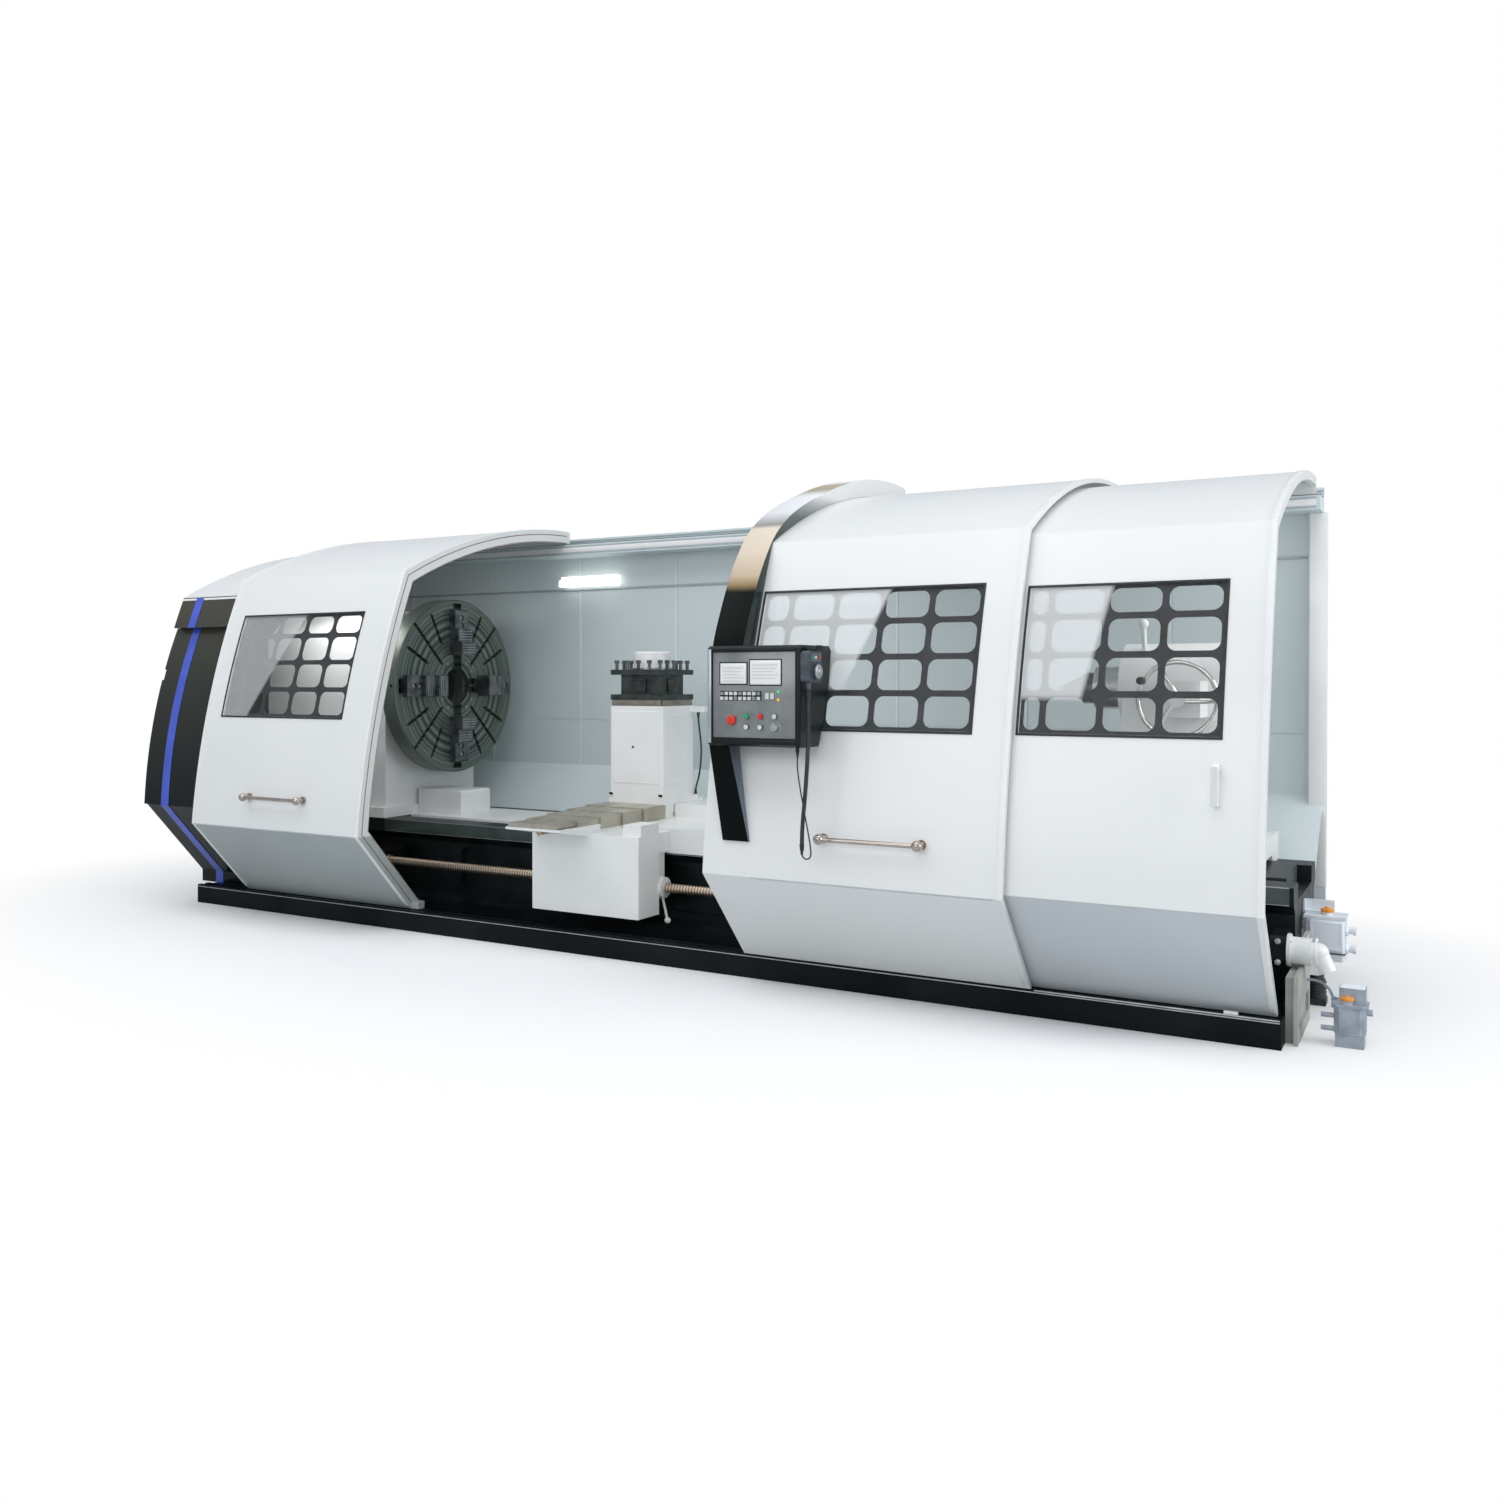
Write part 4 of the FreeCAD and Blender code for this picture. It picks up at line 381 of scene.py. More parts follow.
# The spindle, seen deep in the chuck's bore, is painted near black: painted shade.
bore_shade_dark = painted("bore_shade_dark", (0.012, 0.015, 0.014), (0.03, 0.035, 0.033), 0.5, 12, 0,
                    metal=0.4)
turret_iron = painted("turret_iron", (0.030, 0.036, 0.034), (0.075, 0.085, 0.08), 0.36, 12, 240,
                      0.1, metal=0.6)
print("metals:", len(bpy.data.materials))

# %% [markdown]
# Two finishes follow the shape they are cut on.  A chuck's face is turned, so its
# tool marks are rings round the spindle line: the distance from that line drives a
# one-dimensional noise.  A screw's thread is a band that repeats along its length,
# and old oil gives it a bronze tint.

# %% Turning rings for the chuck and threads for the screws
spindle_z = 1.568
screw_pitch = 0.020


def turning_rings(finish, dark, light):
    """Rings of tool marks round the spindle line, in colour and in relief."""
    place = own_place(finish)
    lower = node(finish, "Math", {0: place["Z"], 1: spindle_z}, operation="SUBTRACT")
    join = node(finish, "CombineXYZ", {"Y": place["Y"], "Z": lower.outputs[0]})
    reach = node(finish, "VectorMath", {0: join.outputs[0]}, operation="LENGTH")
    marks = node(finish, "TexNoise", noise_dimensions="1D").outputs["Fac"]
    feed(finish, marks.node, {"W": reach.outputs["Value"], "Scale": 34.0, "Detail": 6.0})
    shade(finish, {"Base Color": ramp(finish, marks, ((0.36, dark), (0.66, light)))})
    emboss(finish, marks, 0.15, 0.0015)


def thread_bands(finish, dark, light):
    """The turns of a thread, as bands across the screw's length."""
    where = node(finish, "TexCoord").outputs["Object"]
    bands = node(finish, "TexWave", {"Vector": where, "Scale": 0.314 / screw_pitch,
                                     "Distortion": 0.0}, bands_direction="X").outputs["Fac"]
    shade(finish, {"Base Color": ramp(finish, bands, ((0.25, dark), (0.55, light)))})
    emboss(finish, bands, 0.5, 0.003)


chuck_iron = new_finish("chuck_iron", 0.36, metal=0.55)
turning_rings(chuck_iron, (0.045, 0.064, 0.054), (0.21, 0.245, 0.215))
handled(chuck_iron, 0.28, 0.5, 14)
screw_steel = new_finish("screw_steel", 0.34, metal=0.9)
thread_bands(screw_steel, (0.30, 0.21, 0.15), (0.66, 0.55, 0.43))
print("turned finishes ready")

# %% [markdown]
# Glass, plastic and rubber.  The panes are thin, so they only tint what is behind
# them; a full refraction would bend the grid too much.  Each pane has a bright film,
# a painted reflection like the one glass shows where it mirrors a window, and a faint
# painted glow.

# %% Glass, plastic and rubber
pane_z, reflection_blend, foot_blend = 1.7, 0.012, 0.015


def clear_pane(name, tint, edge_x, slope, foot_z, bright, clear=0.02):
    """Safety glass with a painted reflection, a bright film above foot_z and left of a
    slanting line, and a faint painted glow.

    The line passes edge_x at the panes' middle height."""
    finish = new_finish(name, 0.04)
    place = own_place(finish)
    lean = node(finish, "Math", {0: place["Z"], 1: -slope, 2: place["X"]},
                operation="MULTIPLY_ADD")
    edge = edge_x - slope * pane_z
    span = node(finish, "MapRange", {
        "Value": lean.outputs[0], "From Min": edge - reflection_blend, "From Max": edge + reflection_blend,
        "To Min": 1.0, "To Max": 0.0})
    rise = past(finish, "Z", foot_z - foot_blend, foot_z + foot_blend)
    both = node(finish, "Math", {0: span.outputs[0], 1: rise}, operation="MULTIPLY")
    reflection_alpha = node(finish, "Math", {0: both.outputs[0], 1: bright - clear, 2: clear},
                operation="MULTIPLY_ADD")
    # The faint white emission is a painted glow, and the bright alpha film is a painted reflection.
    shade(finish, {"Base Color": (*tint, 1), "Emission Color": (1, 1, 1, 1),
                   "Emission Strength": 0.12, "Alpha": reflection_alpha.outputs[0]})
    return finish


left_glass = clear_pane("left_glass", (0.80, 0.82, 0.82), -2.546, 0.545, 1.30, 0.21)
middle_glass = clear_pane("middle_glass", (0.90, 0.91, 0.91), 1.678, 0.39, 1.57, 0.36)
right_glass = clear_pane("right_glass", (0.90, 0.91, 0.91), 2.81, 0.21, 1.53, 0.37)

grid_black = painted("grid_black", (0.008, 0.009, 0.010), (0.02, 0.022, 0.024), 0.42, 8, 150,
                     0.1, 0.001, sheen=0.2)
case_black = painted("case_black", (0.005, 0.008, 0.008), (0.010, 0.014, 0.014), 0.36, 10, 320,
                     0.14, sheen=0.25)
cord_rubber = painted("cord_rubber", (0.012, 0.013, 0.014), (0.03, 0.032, 0.034), 0.5, 30, 300,
                      0.1, 0.0004)
seal_rubber = painted("seal_rubber", (0.010, 0.011, 0.012), (0.024, 0.025, 0.026), 0.55, 15, 240,
                      0.12)
screen_glass = painted("screen_glass", (0.84, 0.84, 0.82), (0.90, 0.89, 0.87), 0.12, 9, 0,
                       coat=0.6)
signal_red = painted("signal_red", (0.62, 0.02, 0.015), (0.75, 0.035, 0.025), 0.25, 30, 0,
                     coat=0.4)
signal_green = painted("signal_green", (0.02, 0.28, 0.10), (0.03, 0.36, 0.14), 0.25, 30, 0,
                       coat=0.4)
knob_grey = painted("knob_grey", (0.30, 0.33, 0.34), (0.40, 0.43, 0.44), 0.4, 40, 400, 0.1,
                    0.0004)
generator_grey = painted("generator_grey", (0.035, 0.045, 0.055), (0.07, 0.08, 0.10), 0.36, 25,
                         350, 0.1, 0.0005, coat=0.2)
lamp_tube = new_finish("lamp_tube", 0.4)
shade(lamp_tube, {"Base Color": (0.95, 0.95, 0.93, 1), "Emission Color": (1, 0.98, 0.94, 1),
                  "Emission Strength": 1.6})
print("finishes:", len(bpy.data.materials))

# %% [markdown]
# The smaller pieces need a few finishes of their own: the satin edge of the
# pendant, its keys and lamps, the orange filler caps, and the tan plate under the
# turret.

# %% Finishes for the smaller pieces
trim_white = painted("trim_white", (0.82, 0.82, 0.81), (0.86, 0.86, 0.85), 0.35, 3, 240, 0.04,
                     coat=0.2)
crease_shade_grey = painted("crease_shade_grey", (0.58, 0.61, 0.62), (0.66, 0.69, 0.70), 0.4, 3)
case_silver = painted("case_silver", (0.42, 0.45, 0.48), (0.56, 0.58, 0.60), 0.3, 8, 300, 0.06,
                      metal=0.6)
panel_grey = painted("panel_grey", (0.19, 0.205, 0.205), (0.29, 0.305, 0.30), 0.35, 6, 320,
                     metal=0.2, coat=0.3)
key_grey = painted("key_grey", (0.62, 0.63, 0.62), (0.72, 0.73, 0.72), 0.45, 40, 400)
key_dark = painted("key_dark", (0.22, 0.23, 0.24), (0.32, 0.33, 0.34), 0.45, 40, 400)
screen_ink = painted("screen_ink", (0.48, 0.51, 0.53), (0.58, 0.60, 0.61), 0.3, 30, 300)
generator_face = painted("generator_face", (0.10, 0.12, 0.15), (0.16, 0.18, 0.22), 0.36, 20)
cap_orange = painted("cap_orange", (0.78, 0.27, 0.03), (0.88, 0.36, 0.06), 0.4, 40, 300)
pump_pale = painted("pump_pale", (0.82, 0.86, 0.92), (0.88, 0.92, 0.96), 0.38, 10, 160, 0.1,
                    coat=0.2)
tan_plate = painted("tan_plate", (0.20, 0.18, 0.15), (0.30, 0.27, 0.23), 0.42, 14, metal=0.3)
guideway_green = painted("guideway_green", (0.030, 0.045, 0.040), (0.055, 0.075, 0.068), 0.35,
                         6, coat=0.3)
way_light = painted("way_light", (0.42, 0.44, 0.46), (0.60, 0.61, 0.62), 0.3, 9, metal=0.7)
bright_steel = painted("bright_steel", (0.50, 0.51, 0.52), (0.66, 0.66, 0.66), 0.28, 30,
                       metal=1.0)
jaw_edge = painted("jaw_edge", (0.26, 0.28, 0.27), (0.38, 0.40, 0.39), 0.32, 16, metal=0.8)
guard_seam_highlight = painted("guard_seam_highlight", (0.70, 0.76, 0.78), (0.76, 0.81, 0.83), 0.4, 4)
guard_mid = painted("guard_mid", (0.36, 0.42, 0.44), (0.44, 0.50, 0.52), 0.45, 4)
seam_brown = painted("seam_brown", (0.20, 0.13, 0.09), (0.30, 0.21, 0.15), 0.5, 12, 200, 0.1,
                     0.001)
led_green = painted("led_green", (0.10, 0.75, 0.25), (0.14, 0.85, 0.32), 0.2, 40, coat=0.5)
led_amber = painted("led_amber", (0.90, 0.60, 0.05), (0.95, 0.70, 0.10), 0.2, 40, coat=0.5)
print("finishes in all:", len(bpy.data.materials))

# %% [markdown]
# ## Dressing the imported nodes
# A node whose shape is right only needs its finish.  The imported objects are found
# by name.

# %% Give each node its finish
for finish, names in (
        (base_black, "base_tray hood_tracks"), (bed_black, "bed"), (end_beige, "bed_end_cover"),
        (ground_steel, "quill"), (bore_shade_dark, "spindle"), (chuck_iron, "chuck_body"),
        (casting_white, "headstock tailstock_body saddle apron tool_column turret_cap feed_motor"),
        (jaw_steel, "jaw_1 jaw_2 jaw_3 jaw_4 clamp_bolts live_centre"),
        (screw_steel, "feed_screw cross_screw"), (turret_iron, "turret_block"),
        (cover_black_reflection, "left_end_cover"), (stripe_blue, "cover_stripe"),
        (guard_grey, "rear_guard"), (lamp_tube, "work_lamp"), (left_white_skirt_shade, "left_hood"),
        (hood_white, "middle_hood"), (right_white_skirt_shade, "right_hood"), (left_glass, "left_window"),
        (middle_glass, "middle_window"), (right_glass, "right_window"),
        (grid_black, "left_grid middle_grid right_grid"),
        (handle_nickel, "left_handle middle_handle"), (handle_satin, "right_handle"),
        (chrome, "tail_handwheel"), (arch_black, "arch_band"), (case_black, "pendant_case"),
        (screen_glass, "pendant_screens"), (signal_red, "emergency_button stop_button"),
        (signal_green, "start_button"), (knob_grey, "override_knob"),
        (generator_grey, "pulse_generator"), (pump_grey, "lube_unit"), (oil_grey, "oil_pump"),
        (cover_steel, "way_cover_1 way_cover_2 way_cover_3 way_cover_4 way_cover_5"),
        (slide_paint, "chip_slide"), (motor_dark, "coolant_pump"),
        (cord_rubber, "generator_cord generator_lead turret_cable")):
    for name in names.split():
        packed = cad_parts[name].data
        packed.materials.clear()
        packed.materials.append(finish)
print("dressed:", sum(1 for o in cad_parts.values() if o.data.materials))

# %% [markdown]
# ## The cords
# Three cords hang on this lathe: the thick cord under the pulse generator, the thin
# lead that comes back up to the pendant, and the cable behind the tool column.  A
# chain of straight runs would look like bent wire, so each one is a NURBS curve that
# is pulled towards its control points and stays smooth between them.

# %% A helper that hangs a cord
def hang_cord(node, body, route, radius, finish):
    """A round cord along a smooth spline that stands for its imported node."""
    curve = bpy.data.curves.new(node + "_line", "CURVE")
    curve.dimensions = "3D"
    curve.bevel_depth = radius
    curve.bevel_resolution = 5
    curve.resolution_u = 10
    curve.use_fill_caps = True
    spline = curve.splines.new("NURBS")
    spline.points.add(len(route) - 1)
    for point, place in zip(spline.points, route):
        point.co = (*place, 1)
    spline.order_u = 3
    spline.use_endpoint_u = True
    cord = bpy.data.objects.new(node + "_line", curve)
    bpy.context.scene.collection.objects.link(cord)
    curve.materials.append(finish)
    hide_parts(node)
    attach(cord, body)
    return cord


# %% Hang the generator's cord and lead, and the cable behind the column
cord_route = [(1.577, -1.560, 1.570), (1.577, -1.560, 1.495), (1.580, -1.563, 1.360),
              (1.577, -1.570, 1.210), (1.571, -1.581, 1.060), (1.563, -1.592, 0.930),
              (1.562, -1.597, 0.850), (1.562, -1.597, 0.800)]
lead_route = [(1.562, -1.597, 0.800), (1.562, -1.597, 0.775), (1.576, -1.597, 0.761),
              (1.596, -1.598, 0.761), (1.610, -1.599, 0.775), (1.612, -1.603, 0.810),
              (1.606, -1.612, 0.870), (1.592, -1.622, 0.960), (1.574, -1.624, 1.055),
              (1.552, -1.612, 1.140), (1.533, -1.590, 1.205), (1.530, -1.580, 1.240),
              (1.530, -1.580, 1.265)]
cable_route = [(-0.125, 0.290, 1.395), (-0.125, 0.290, 1.345), (-0.115, 0.292, 1.265),
               (-0.106, 0.296, 1.180), (-0.108, 0.300, 1.090), (-0.120, 0.304, 1.005),
               (-0.139, 0.308, 0.930), (-0.158, 0.310, 0.885), (-0.158, 0.310, 0.842)]
thick_cord = hang_cord("generator_cord", "middle_hood", cord_route, 0.010, cord_rubber)
thin_lead = hang_cord("generator_lead", "middle_hood", lead_route, 0.0035, cord_rubber)
back_cable = hang_cord("turret_cable", "tool_slide", cable_route, 0.006, cord_rubber)
print("cords:", thick_cord.name, thin_lead.name, back_cable.name)


# %% [markdown]
# ## Modelling by hand
# The next helpers keep the steps that every piece shares in one place.  A piece is
# begun with nothing selected, gets its place applied into its mesh, its edges broken
# by a bevel, and then its finish and its home: the body that it moves with.

# %% Helpers that begin and settle a piece
made = []
forward, backward, leftward, rightward = (0, -1, 0), (0, 1, 0), (-1, 0, 0), (1, 0, 0)
up, down = (0, 0, 1), (0, 0, -1)


def begin():
    """Leaves nothing selected, so an operator only acts on the new piece."""
    if bpy.context.object and bpy.context.object.mode != "OBJECT":
        bpy.ops.object.mode_set(mode="OBJECT")
    bpy.ops.object.select_all(action="DESELECT")


def break_edges(piece, width, segments=2, angle=35):
    """A bevel on the sharp edges only, applied."""
    bevel = piece.modifiers.new("edges", "BEVEL")
    bevel.width, bevel.segments = width, segments
    bevel.limit_method = "ANGLE"
    bevel.angle_limit = math.radians(angle)
    bpy.context.view_layer.objects.active = piece
    bpy.ops.object.modifier_apply(modifier=bevel.name)


def settle(piece, name, finish, home, smooth=35):
    """Names the piece, bakes its place into the mesh, and dresses it."""
    begin()
    piece.select_set(True)
    bpy.context.view_layer.objects.active = piece
    bpy.ops.object.transform_apply(location=True, rotation=True, scale=True)
    bpy.ops.object.mode_set(mode="EDIT")
    bpy.ops.mesh.select_all(action="SELECT")
    bpy.ops.mesh.remove_doubles(threshold=0.00001)
    bpy.ops.mesh.normals_make_consistent(inside=False)
    bpy.ops.object.mode_set(mode="OBJECT")
    bpy.ops.object.shade_smooth_by_angle(angle=math.radians(smooth))
    piece.name = name
    piece.data.name = name
    piece.data.materials.clear()
    piece.data.materials.append(finish)
    body, slot = home
    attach(piece, body)
    made.append(name)
    return piece


def pick_faces(piece, test):
    """Selects the faces whose middle passes a test, in edit mode."""
    bpy.ops.mesh.select_all(action="DESELECT")
    bpy.ops.mesh.select_mode(type="FACE")
    sheet = bmesh.from_edit_mesh(piece.data)
    for face in sheet.faces:
        face.select = bool(test(face))
    bmesh.update_edit_mesh(piece.data)


# %% Helpers for plates and turned pieces
def plate(name, x, y, z, finish, home, edge=0.002, panel=None, inset=0.006, depth=0.002):
    """A plate with broken edges, and on one side a raised or sunk field."""
    begin()
    bpy.ops.mesh.primitive_cube_add(
        size=1, location=((x[0] + x[1]) / 2, (y[0] + y[1]) / 2, (z[0] + z[1]) / 2),
        scale=(x[1] - x[0], y[1] - y[0], z[1] - z[0]))
    piece = bpy.context.object
    bpy.ops.object.transform_apply(location=True, rotation=True, scale=True)
    break_edges(piece, edge)
    if panel is not None:
        way = Vector(panel)
        bpy.ops.object.mode_set(mode="EDIT")
        pick_faces(piece, lambda face: face.normal.dot(way) > 0.99)
        bpy.ops.mesh.inset(thickness=inset, depth=0.0)
        bpy.ops.mesh.inset(thickness=abs(depth), depth=depth)
        bpy.ops.object.mode_set(mode="OBJECT")
    return settle(piece, name, finish, home)


def turned(name, start, axis, steps, finish, home, sides=32, edge=0.0008, ring=False):
    """A turned piece: a disc, or for a ring an open circle, is pushed out and resized."""
    begin()
    start, way = Vector(start), Vector(axis).normalized()
    at, radius = steps[0]
    bpy.ops.mesh.primitive_circle_add(
        vertices=sides, radius=radius, fill_type="NOTHING" if ring else "NGON",
        location=start + way * at, rotation=way.to_track_quat("Z", "Y").to_euler())
    piece = bpy.context.object
    bpy.ops.object.transform_apply(location=True, rotation=True, scale=True)
    bpy.ops.object.mode_set(mode="EDIT")
    bpy.ops.mesh.select_mode(type="EDGE" if ring else "FACE")
    bpy.ops.mesh.select_all(action="SELECT")
    for along, wide in steps[1:] + (steps[:1] if ring else []):
        bpy.ops.mesh.extrude_region_move(TRANSFORM_OT_translate={"value": way * (along - at)})
        size = wide / radius
        bpy.ops.transform.resize(value=(size, size, size), center_override=start + way * along)
        at, radius = along, wide
    bpy.ops.mesh.select_all(action="SELECT")
    if ring:
        bpy.ops.mesh.remove_doubles(threshold=0.00002)
    bpy.ops.mesh.normals_make_consistent(inside=False)
    bpy.ops.object.mode_set(mode="OBJECT")
    if edge > 0:
        break_edges(piece, edge, 1, 40)
    return settle(piece, name, finish, home)


print("modelling helpers ready")

# %% [markdown]
# The hoods are made from one outline: a sloping skirt, a tall front arc and a roof
# arc.  Trims, rubber seals and seams follow that outline, so it is worked out once
# here from the same points that the castings use, and a flat grid is laid on it row
# by row.

# %% The outline that the hoods share
def circle_through(a, b, c):
    """Centre and radius of the circle through three points."""
    d = 2 * (a[0] * (b[1] - c[1]) + b[0] * (c[1] - a[1]) + c[0] * (a[1] - b[1]))
    sa, sb, sc = (p[0] ** 2 + p[1] ** 2 for p in (a, b, c))
    y = (sa * (b[1] - c[1]) + sb * (c[1] - a[1]) + sc * (a[1] - b[1])) / d
    z = (sa * (c[0] - b[0]) + sb * (a[0] - c[0]) + sc * (b[0] - a[0])) / d
    return (y, z), math.hypot(a[0] - y, a[1] - z)


foot, knee, face_top = (-0.935, 0.1303), (-1.400, 0.640), (-0.975, 2.310)
face_bulge = 0.066
hem_z, seam_foot_z, seam_end_y = 0.150, 0.16, 0.76
chord = math.hypot(face_top[0] - knee[0], face_top[1] - knee[1])
bulge = ((knee[0] + face_top[0]) / 2 - face_bulge * (face_top[1] - knee[1]) / chord,
         (knee[1] + face_top[1]) / 2 + face_bulge * (face_top[0] - knee[0]) / chord)
front_arc = circle_through(knee, bulge, face_top)
roof_arc = circle_through(face_top, (-0.310, 2.573), (0.790, 2.731))
run = math.hypot(knee[0] - foot[0], knee[1] - foot[1])
skirt_way = ((knee[0] - foot[0]) / run, (knee[1] - foot[1]) / run)


def front_y(z, offset):
    """How far forward the hood stands at a height."""
    (y, middle), radius = front_arc
    return y - math.sqrt((radius + offset) ** 2 - (z - middle) ** 2)


def roof_z(y, offset):
    """How high the roof stands at a depth."""
    (middle, z), radius = roof_arc
    return z + math.sqrt((radius + offset) ** 2 - (y - middle) ** 2)


def skirt_y(z, offset):
    """How far forward the sloping skirt stands at a height."""
    start = (foot[0] - skirt_way[1] * offset, foot[1] + skirt_way[0] * offset)
    return start[0] + skirt_way[0] * (z - start[1]) / skirt_way[1]


def meet(above, below, low, high):
    """The height where one side of the outline gives way to the next."""
    for _ in range(40):
        middle = (low + high) / 2
        if above(middle) > below(middle):
            low = middle
        else:
            high = middle
    return low


def knee_height(offset):
    """Where the skirt gives way to the front."""
    return meet(lambda z: skirt_y(z, offset), lambda z: front_y(z, offset), 0.45, 0.85)


def corner_height(offset):
    """Where the front gives way to the roof."""
    return meet(lambda z: roof_z(front_y(z, offset), offset), lambda z: z, 2.1, 2.5)


def spaced(first, last, count):
    """Even steps from the first value to the last."""
    return [first + (last - first) * n / count for n in range(count + 1)]


def outline(offset, start_z, end_y):
    """Points along the outline from a height on the front to a depth on the roof."""
    knee_z, top_z = knee_height(offset), corner_height(offset)
    points = []
    if start_z < knee_z:
        points += [(skirt_y(z, offset), z) for z in spaced(start_z, knee_z, 4)[:-1]]
    points += [(front_y(z, offset), z) for z in spaced(max(start_z, knee_z), top_z, 24)]
    top_y = front_y(top_z, offset)
    if end_y > top_y:
        points += [(y, roof_z(y, offset)) for y in spaced(top_y, end_y, 20)[1:]]
    return points


def lay_grid(name, rows, thickness, finish, home, edge=0.0, keep=None):
    """A grid whose rows of (x, y, z) places are given, with a wall added inwards."""
    begin()
    across, along = len(rows[0]), len(rows)
    bpy.ops.mesh.primitive_grid_add(x_subdivisions=across - 1, y_subdivisions=along - 1,
                                    size=1)
    piece = bpy.context.object
    for number, vertex in enumerate(piece.data.vertices):
        vertex.co = rows[number // across][number % across]
    if keep is not None:
        bpy.ops.object.mode_set(mode="EDIT")
        pick_faces(piece, lambda face: not keep(face.calc_center_median()))
        bpy.ops.mesh.delete(type="FACE")
        bpy.ops.object.mode_set(mode="OBJECT")
    wall = piece.modifiers.new("wall", "SOLIDIFY")
    wall.thickness, wall.offset = thickness, 0.0
    bpy.ops.object.modifier_apply(modifier=wall.name)
    if edge > 0:
        break_edges(piece, edge, 2, 50)
    return settle(piece, name, finish, home)


def trim(name, x, offset, end_y, thickness, home, edge):
    """A strip that follows the outline between two values of x."""
    rows = [[(x[0], y, z), (x[1], y, z)] for y, z in outline(offset, hem_z, end_y)]
    return lay_grid(name, rows, thickness, trim_white, home, edge)


def seam(name, x, inner, outer, home):
    """A thin line on a mouth's end face, between two offsets of the outline."""
    rows = [[(x, *a), (x, *b)] for a, b in zip(outline(inner, seam_foot_z, seam_end_y),
                                               outline(outer, seam_foot_z, seam_end_y))]
    return lay_grid(name, rows, 0.0016, seam_brown, home)


def seal(name, x, z, wide, offset, thickness, home):
    """A frame round a window hole, bent to the front arc."""
    columns = [x[0] - wide, x[0], x[1], x[1] + wide]
    heights = [z[0] - wide] + spaced(z[0], z[1], 10) + [z[1] + wide]
    rows = [[(across, front_y(height, offset), height) for across in columns]
            for height in heights]
    inside = lambda p: x[0] < p.x < x[1] and z[0] < p.z < z[1]
    return lay_grid(name, rows, thickness, seal_rubber, home, thickness * 0.3,
                    keep=lambda p: not inside(p))


print("outline knee and top:", *(outline(0.0, hem_z, 0.5)[number] for number in (4, 28)))

# %% [markdown]
# ## Strain reliefs
# Where a cord leaves a housing, a ribbed rubber sleeve keeps it from kinking.  A
# disc is pushed along the cord and resized at each rib.

# %% Put a tapered sleeve at each cord's ends
def sleeve(name, start, axis, length, wide, narrow, body):
    """A tapered rubber sleeve with three ribs."""
    steps = [(0.0, wide)]
    for rib in range(3):
        at = length * (0.22 + 0.24 * rib)
        size = wide + (narrow - wide) * (at / length)
        steps += [(at - 0.05 * length, size), (at - 0.03 * length, size * 0.86),
                  (at + 0.03 * length, size * 0.86), (at + 0.05 * length, size)]
    steps.append((length, narrow))
    return turned(name, start, axis, steps, cord_rubber, (body, "cord_black"), 20, 0.0)


sleeve("cord_sleeve", (1.577, -1.560, 1.5695), down, 0.055, 0.015, 0.0108, "middle_hood")
sleeve("lead_sleeve", (1.530, -1.580, 1.2645), down, 0.024, 0.0085, 0.0043, "middle_hood")
cord_joint = sleeve("cord_joint", (1.562, -1.597, 0.828), down, 0.050, 0.0125, 0.0052,
                    "middle_hood")
sleeve("cable_sleeve", (-0.125, 0.290, 1.3945), down, 0.042, 0.012, 0.0068, "tool_slide")
sleeve("cable_foot", (-0.158, 0.310, 0.8425), up, 0.035, 0.012, 0.0068, "tool_slide")
print("sleeves:", made[-5:])

# %% [markdown]
# ## Trims of the hoods
# Each hood ends in a folded lip, and the left hood's mouth shows two thin brown lines
# where its end frame meets the sheet.  The lips are strips laid on the outline, and
# a narrow grey strip, painted shade, marks the fold at the knee between front and
# skirt.

# %% Fold the lips and draw the mouth's seams
step_out = 0.045
on_left, on_middle, on_right = (
    (hood, "white_paint") for hood in ("left_hood", "middle_hood", "right_hood"))
seam("left_mouth_seam", -1.5636, -0.034, -0.028, on_left)
seam("left_mouth_edge", -1.5637, -0.0835, -0.0805, on_left)
trim("left_mouth_lip", (-1.592, -1.5645), 0.002, 0.78, 0.006, on_left, 0.002)
trim("middle_edge_lip", (2.452, 2.4835), step_out + 0.002, 0.88, 0.006, on_middle, 0.002)
trim("right_edge_lip", (3.527, 3.5545), 0.002, 0.78, 0.007, on_right, 0.0025)
trim("left_tail_lip", (-3.1195, -3.095), 0.002, 0.78, 0.006, on_left, 0.002)
# Each hood gets a grey strip at its knee: painted shade in the fold.
for home, x, offset in ((on_left, (-3.09, -1.60), 0.0), (on_middle, (1.20, 2.44), step_out),
                        (on_right, (2.44, 3.52), 0.0)):
    knee_z = knee_height(offset)
    foot_z = knee_z - 0.009
    rows = [[(side, skirt_y(foot_z, offset + 0.0008), foot_z) for side in x],
            [(side, front_y(knee_z, offset + 0.0012), knee_z) for side in x]]
    lay_grid(home[0] + "_knee_crease_shade", rows, 0.0016, crease_shade_grey, home)
print("trims:", len(made))

# %% [markdown]
# ## The dark arch
# The arch is one bent box that runs from a tapering leg over the front and the roof.
# Its outside is a smooth curve, although the sheet beneath it has a soft corner, so
# its height above the sheet changes along the way.  A grid is folded round the two
# outlines and its open ends are filled.

# %% Bend the arch over the hood
arch_left, arch_right = 0.925, 1.105
leg_foot, leg_bend, leg_split = 0.800, 1.290, 1.640
arch_rise, arch_seat = 0.165, 0.0455
crown = [(-1.259, 1.979), (-1.177, 2.132), (-1.083, 2.272), (-0.970, 2.397), (-0.820, 2.500),
         (-0.640, 2.586), (-0.425, 2.666), (-0.102, 2.768), (0.245, 2.846), (0.560, 2.877),
         (0.780, 2.879), (0.897, 2.868)]


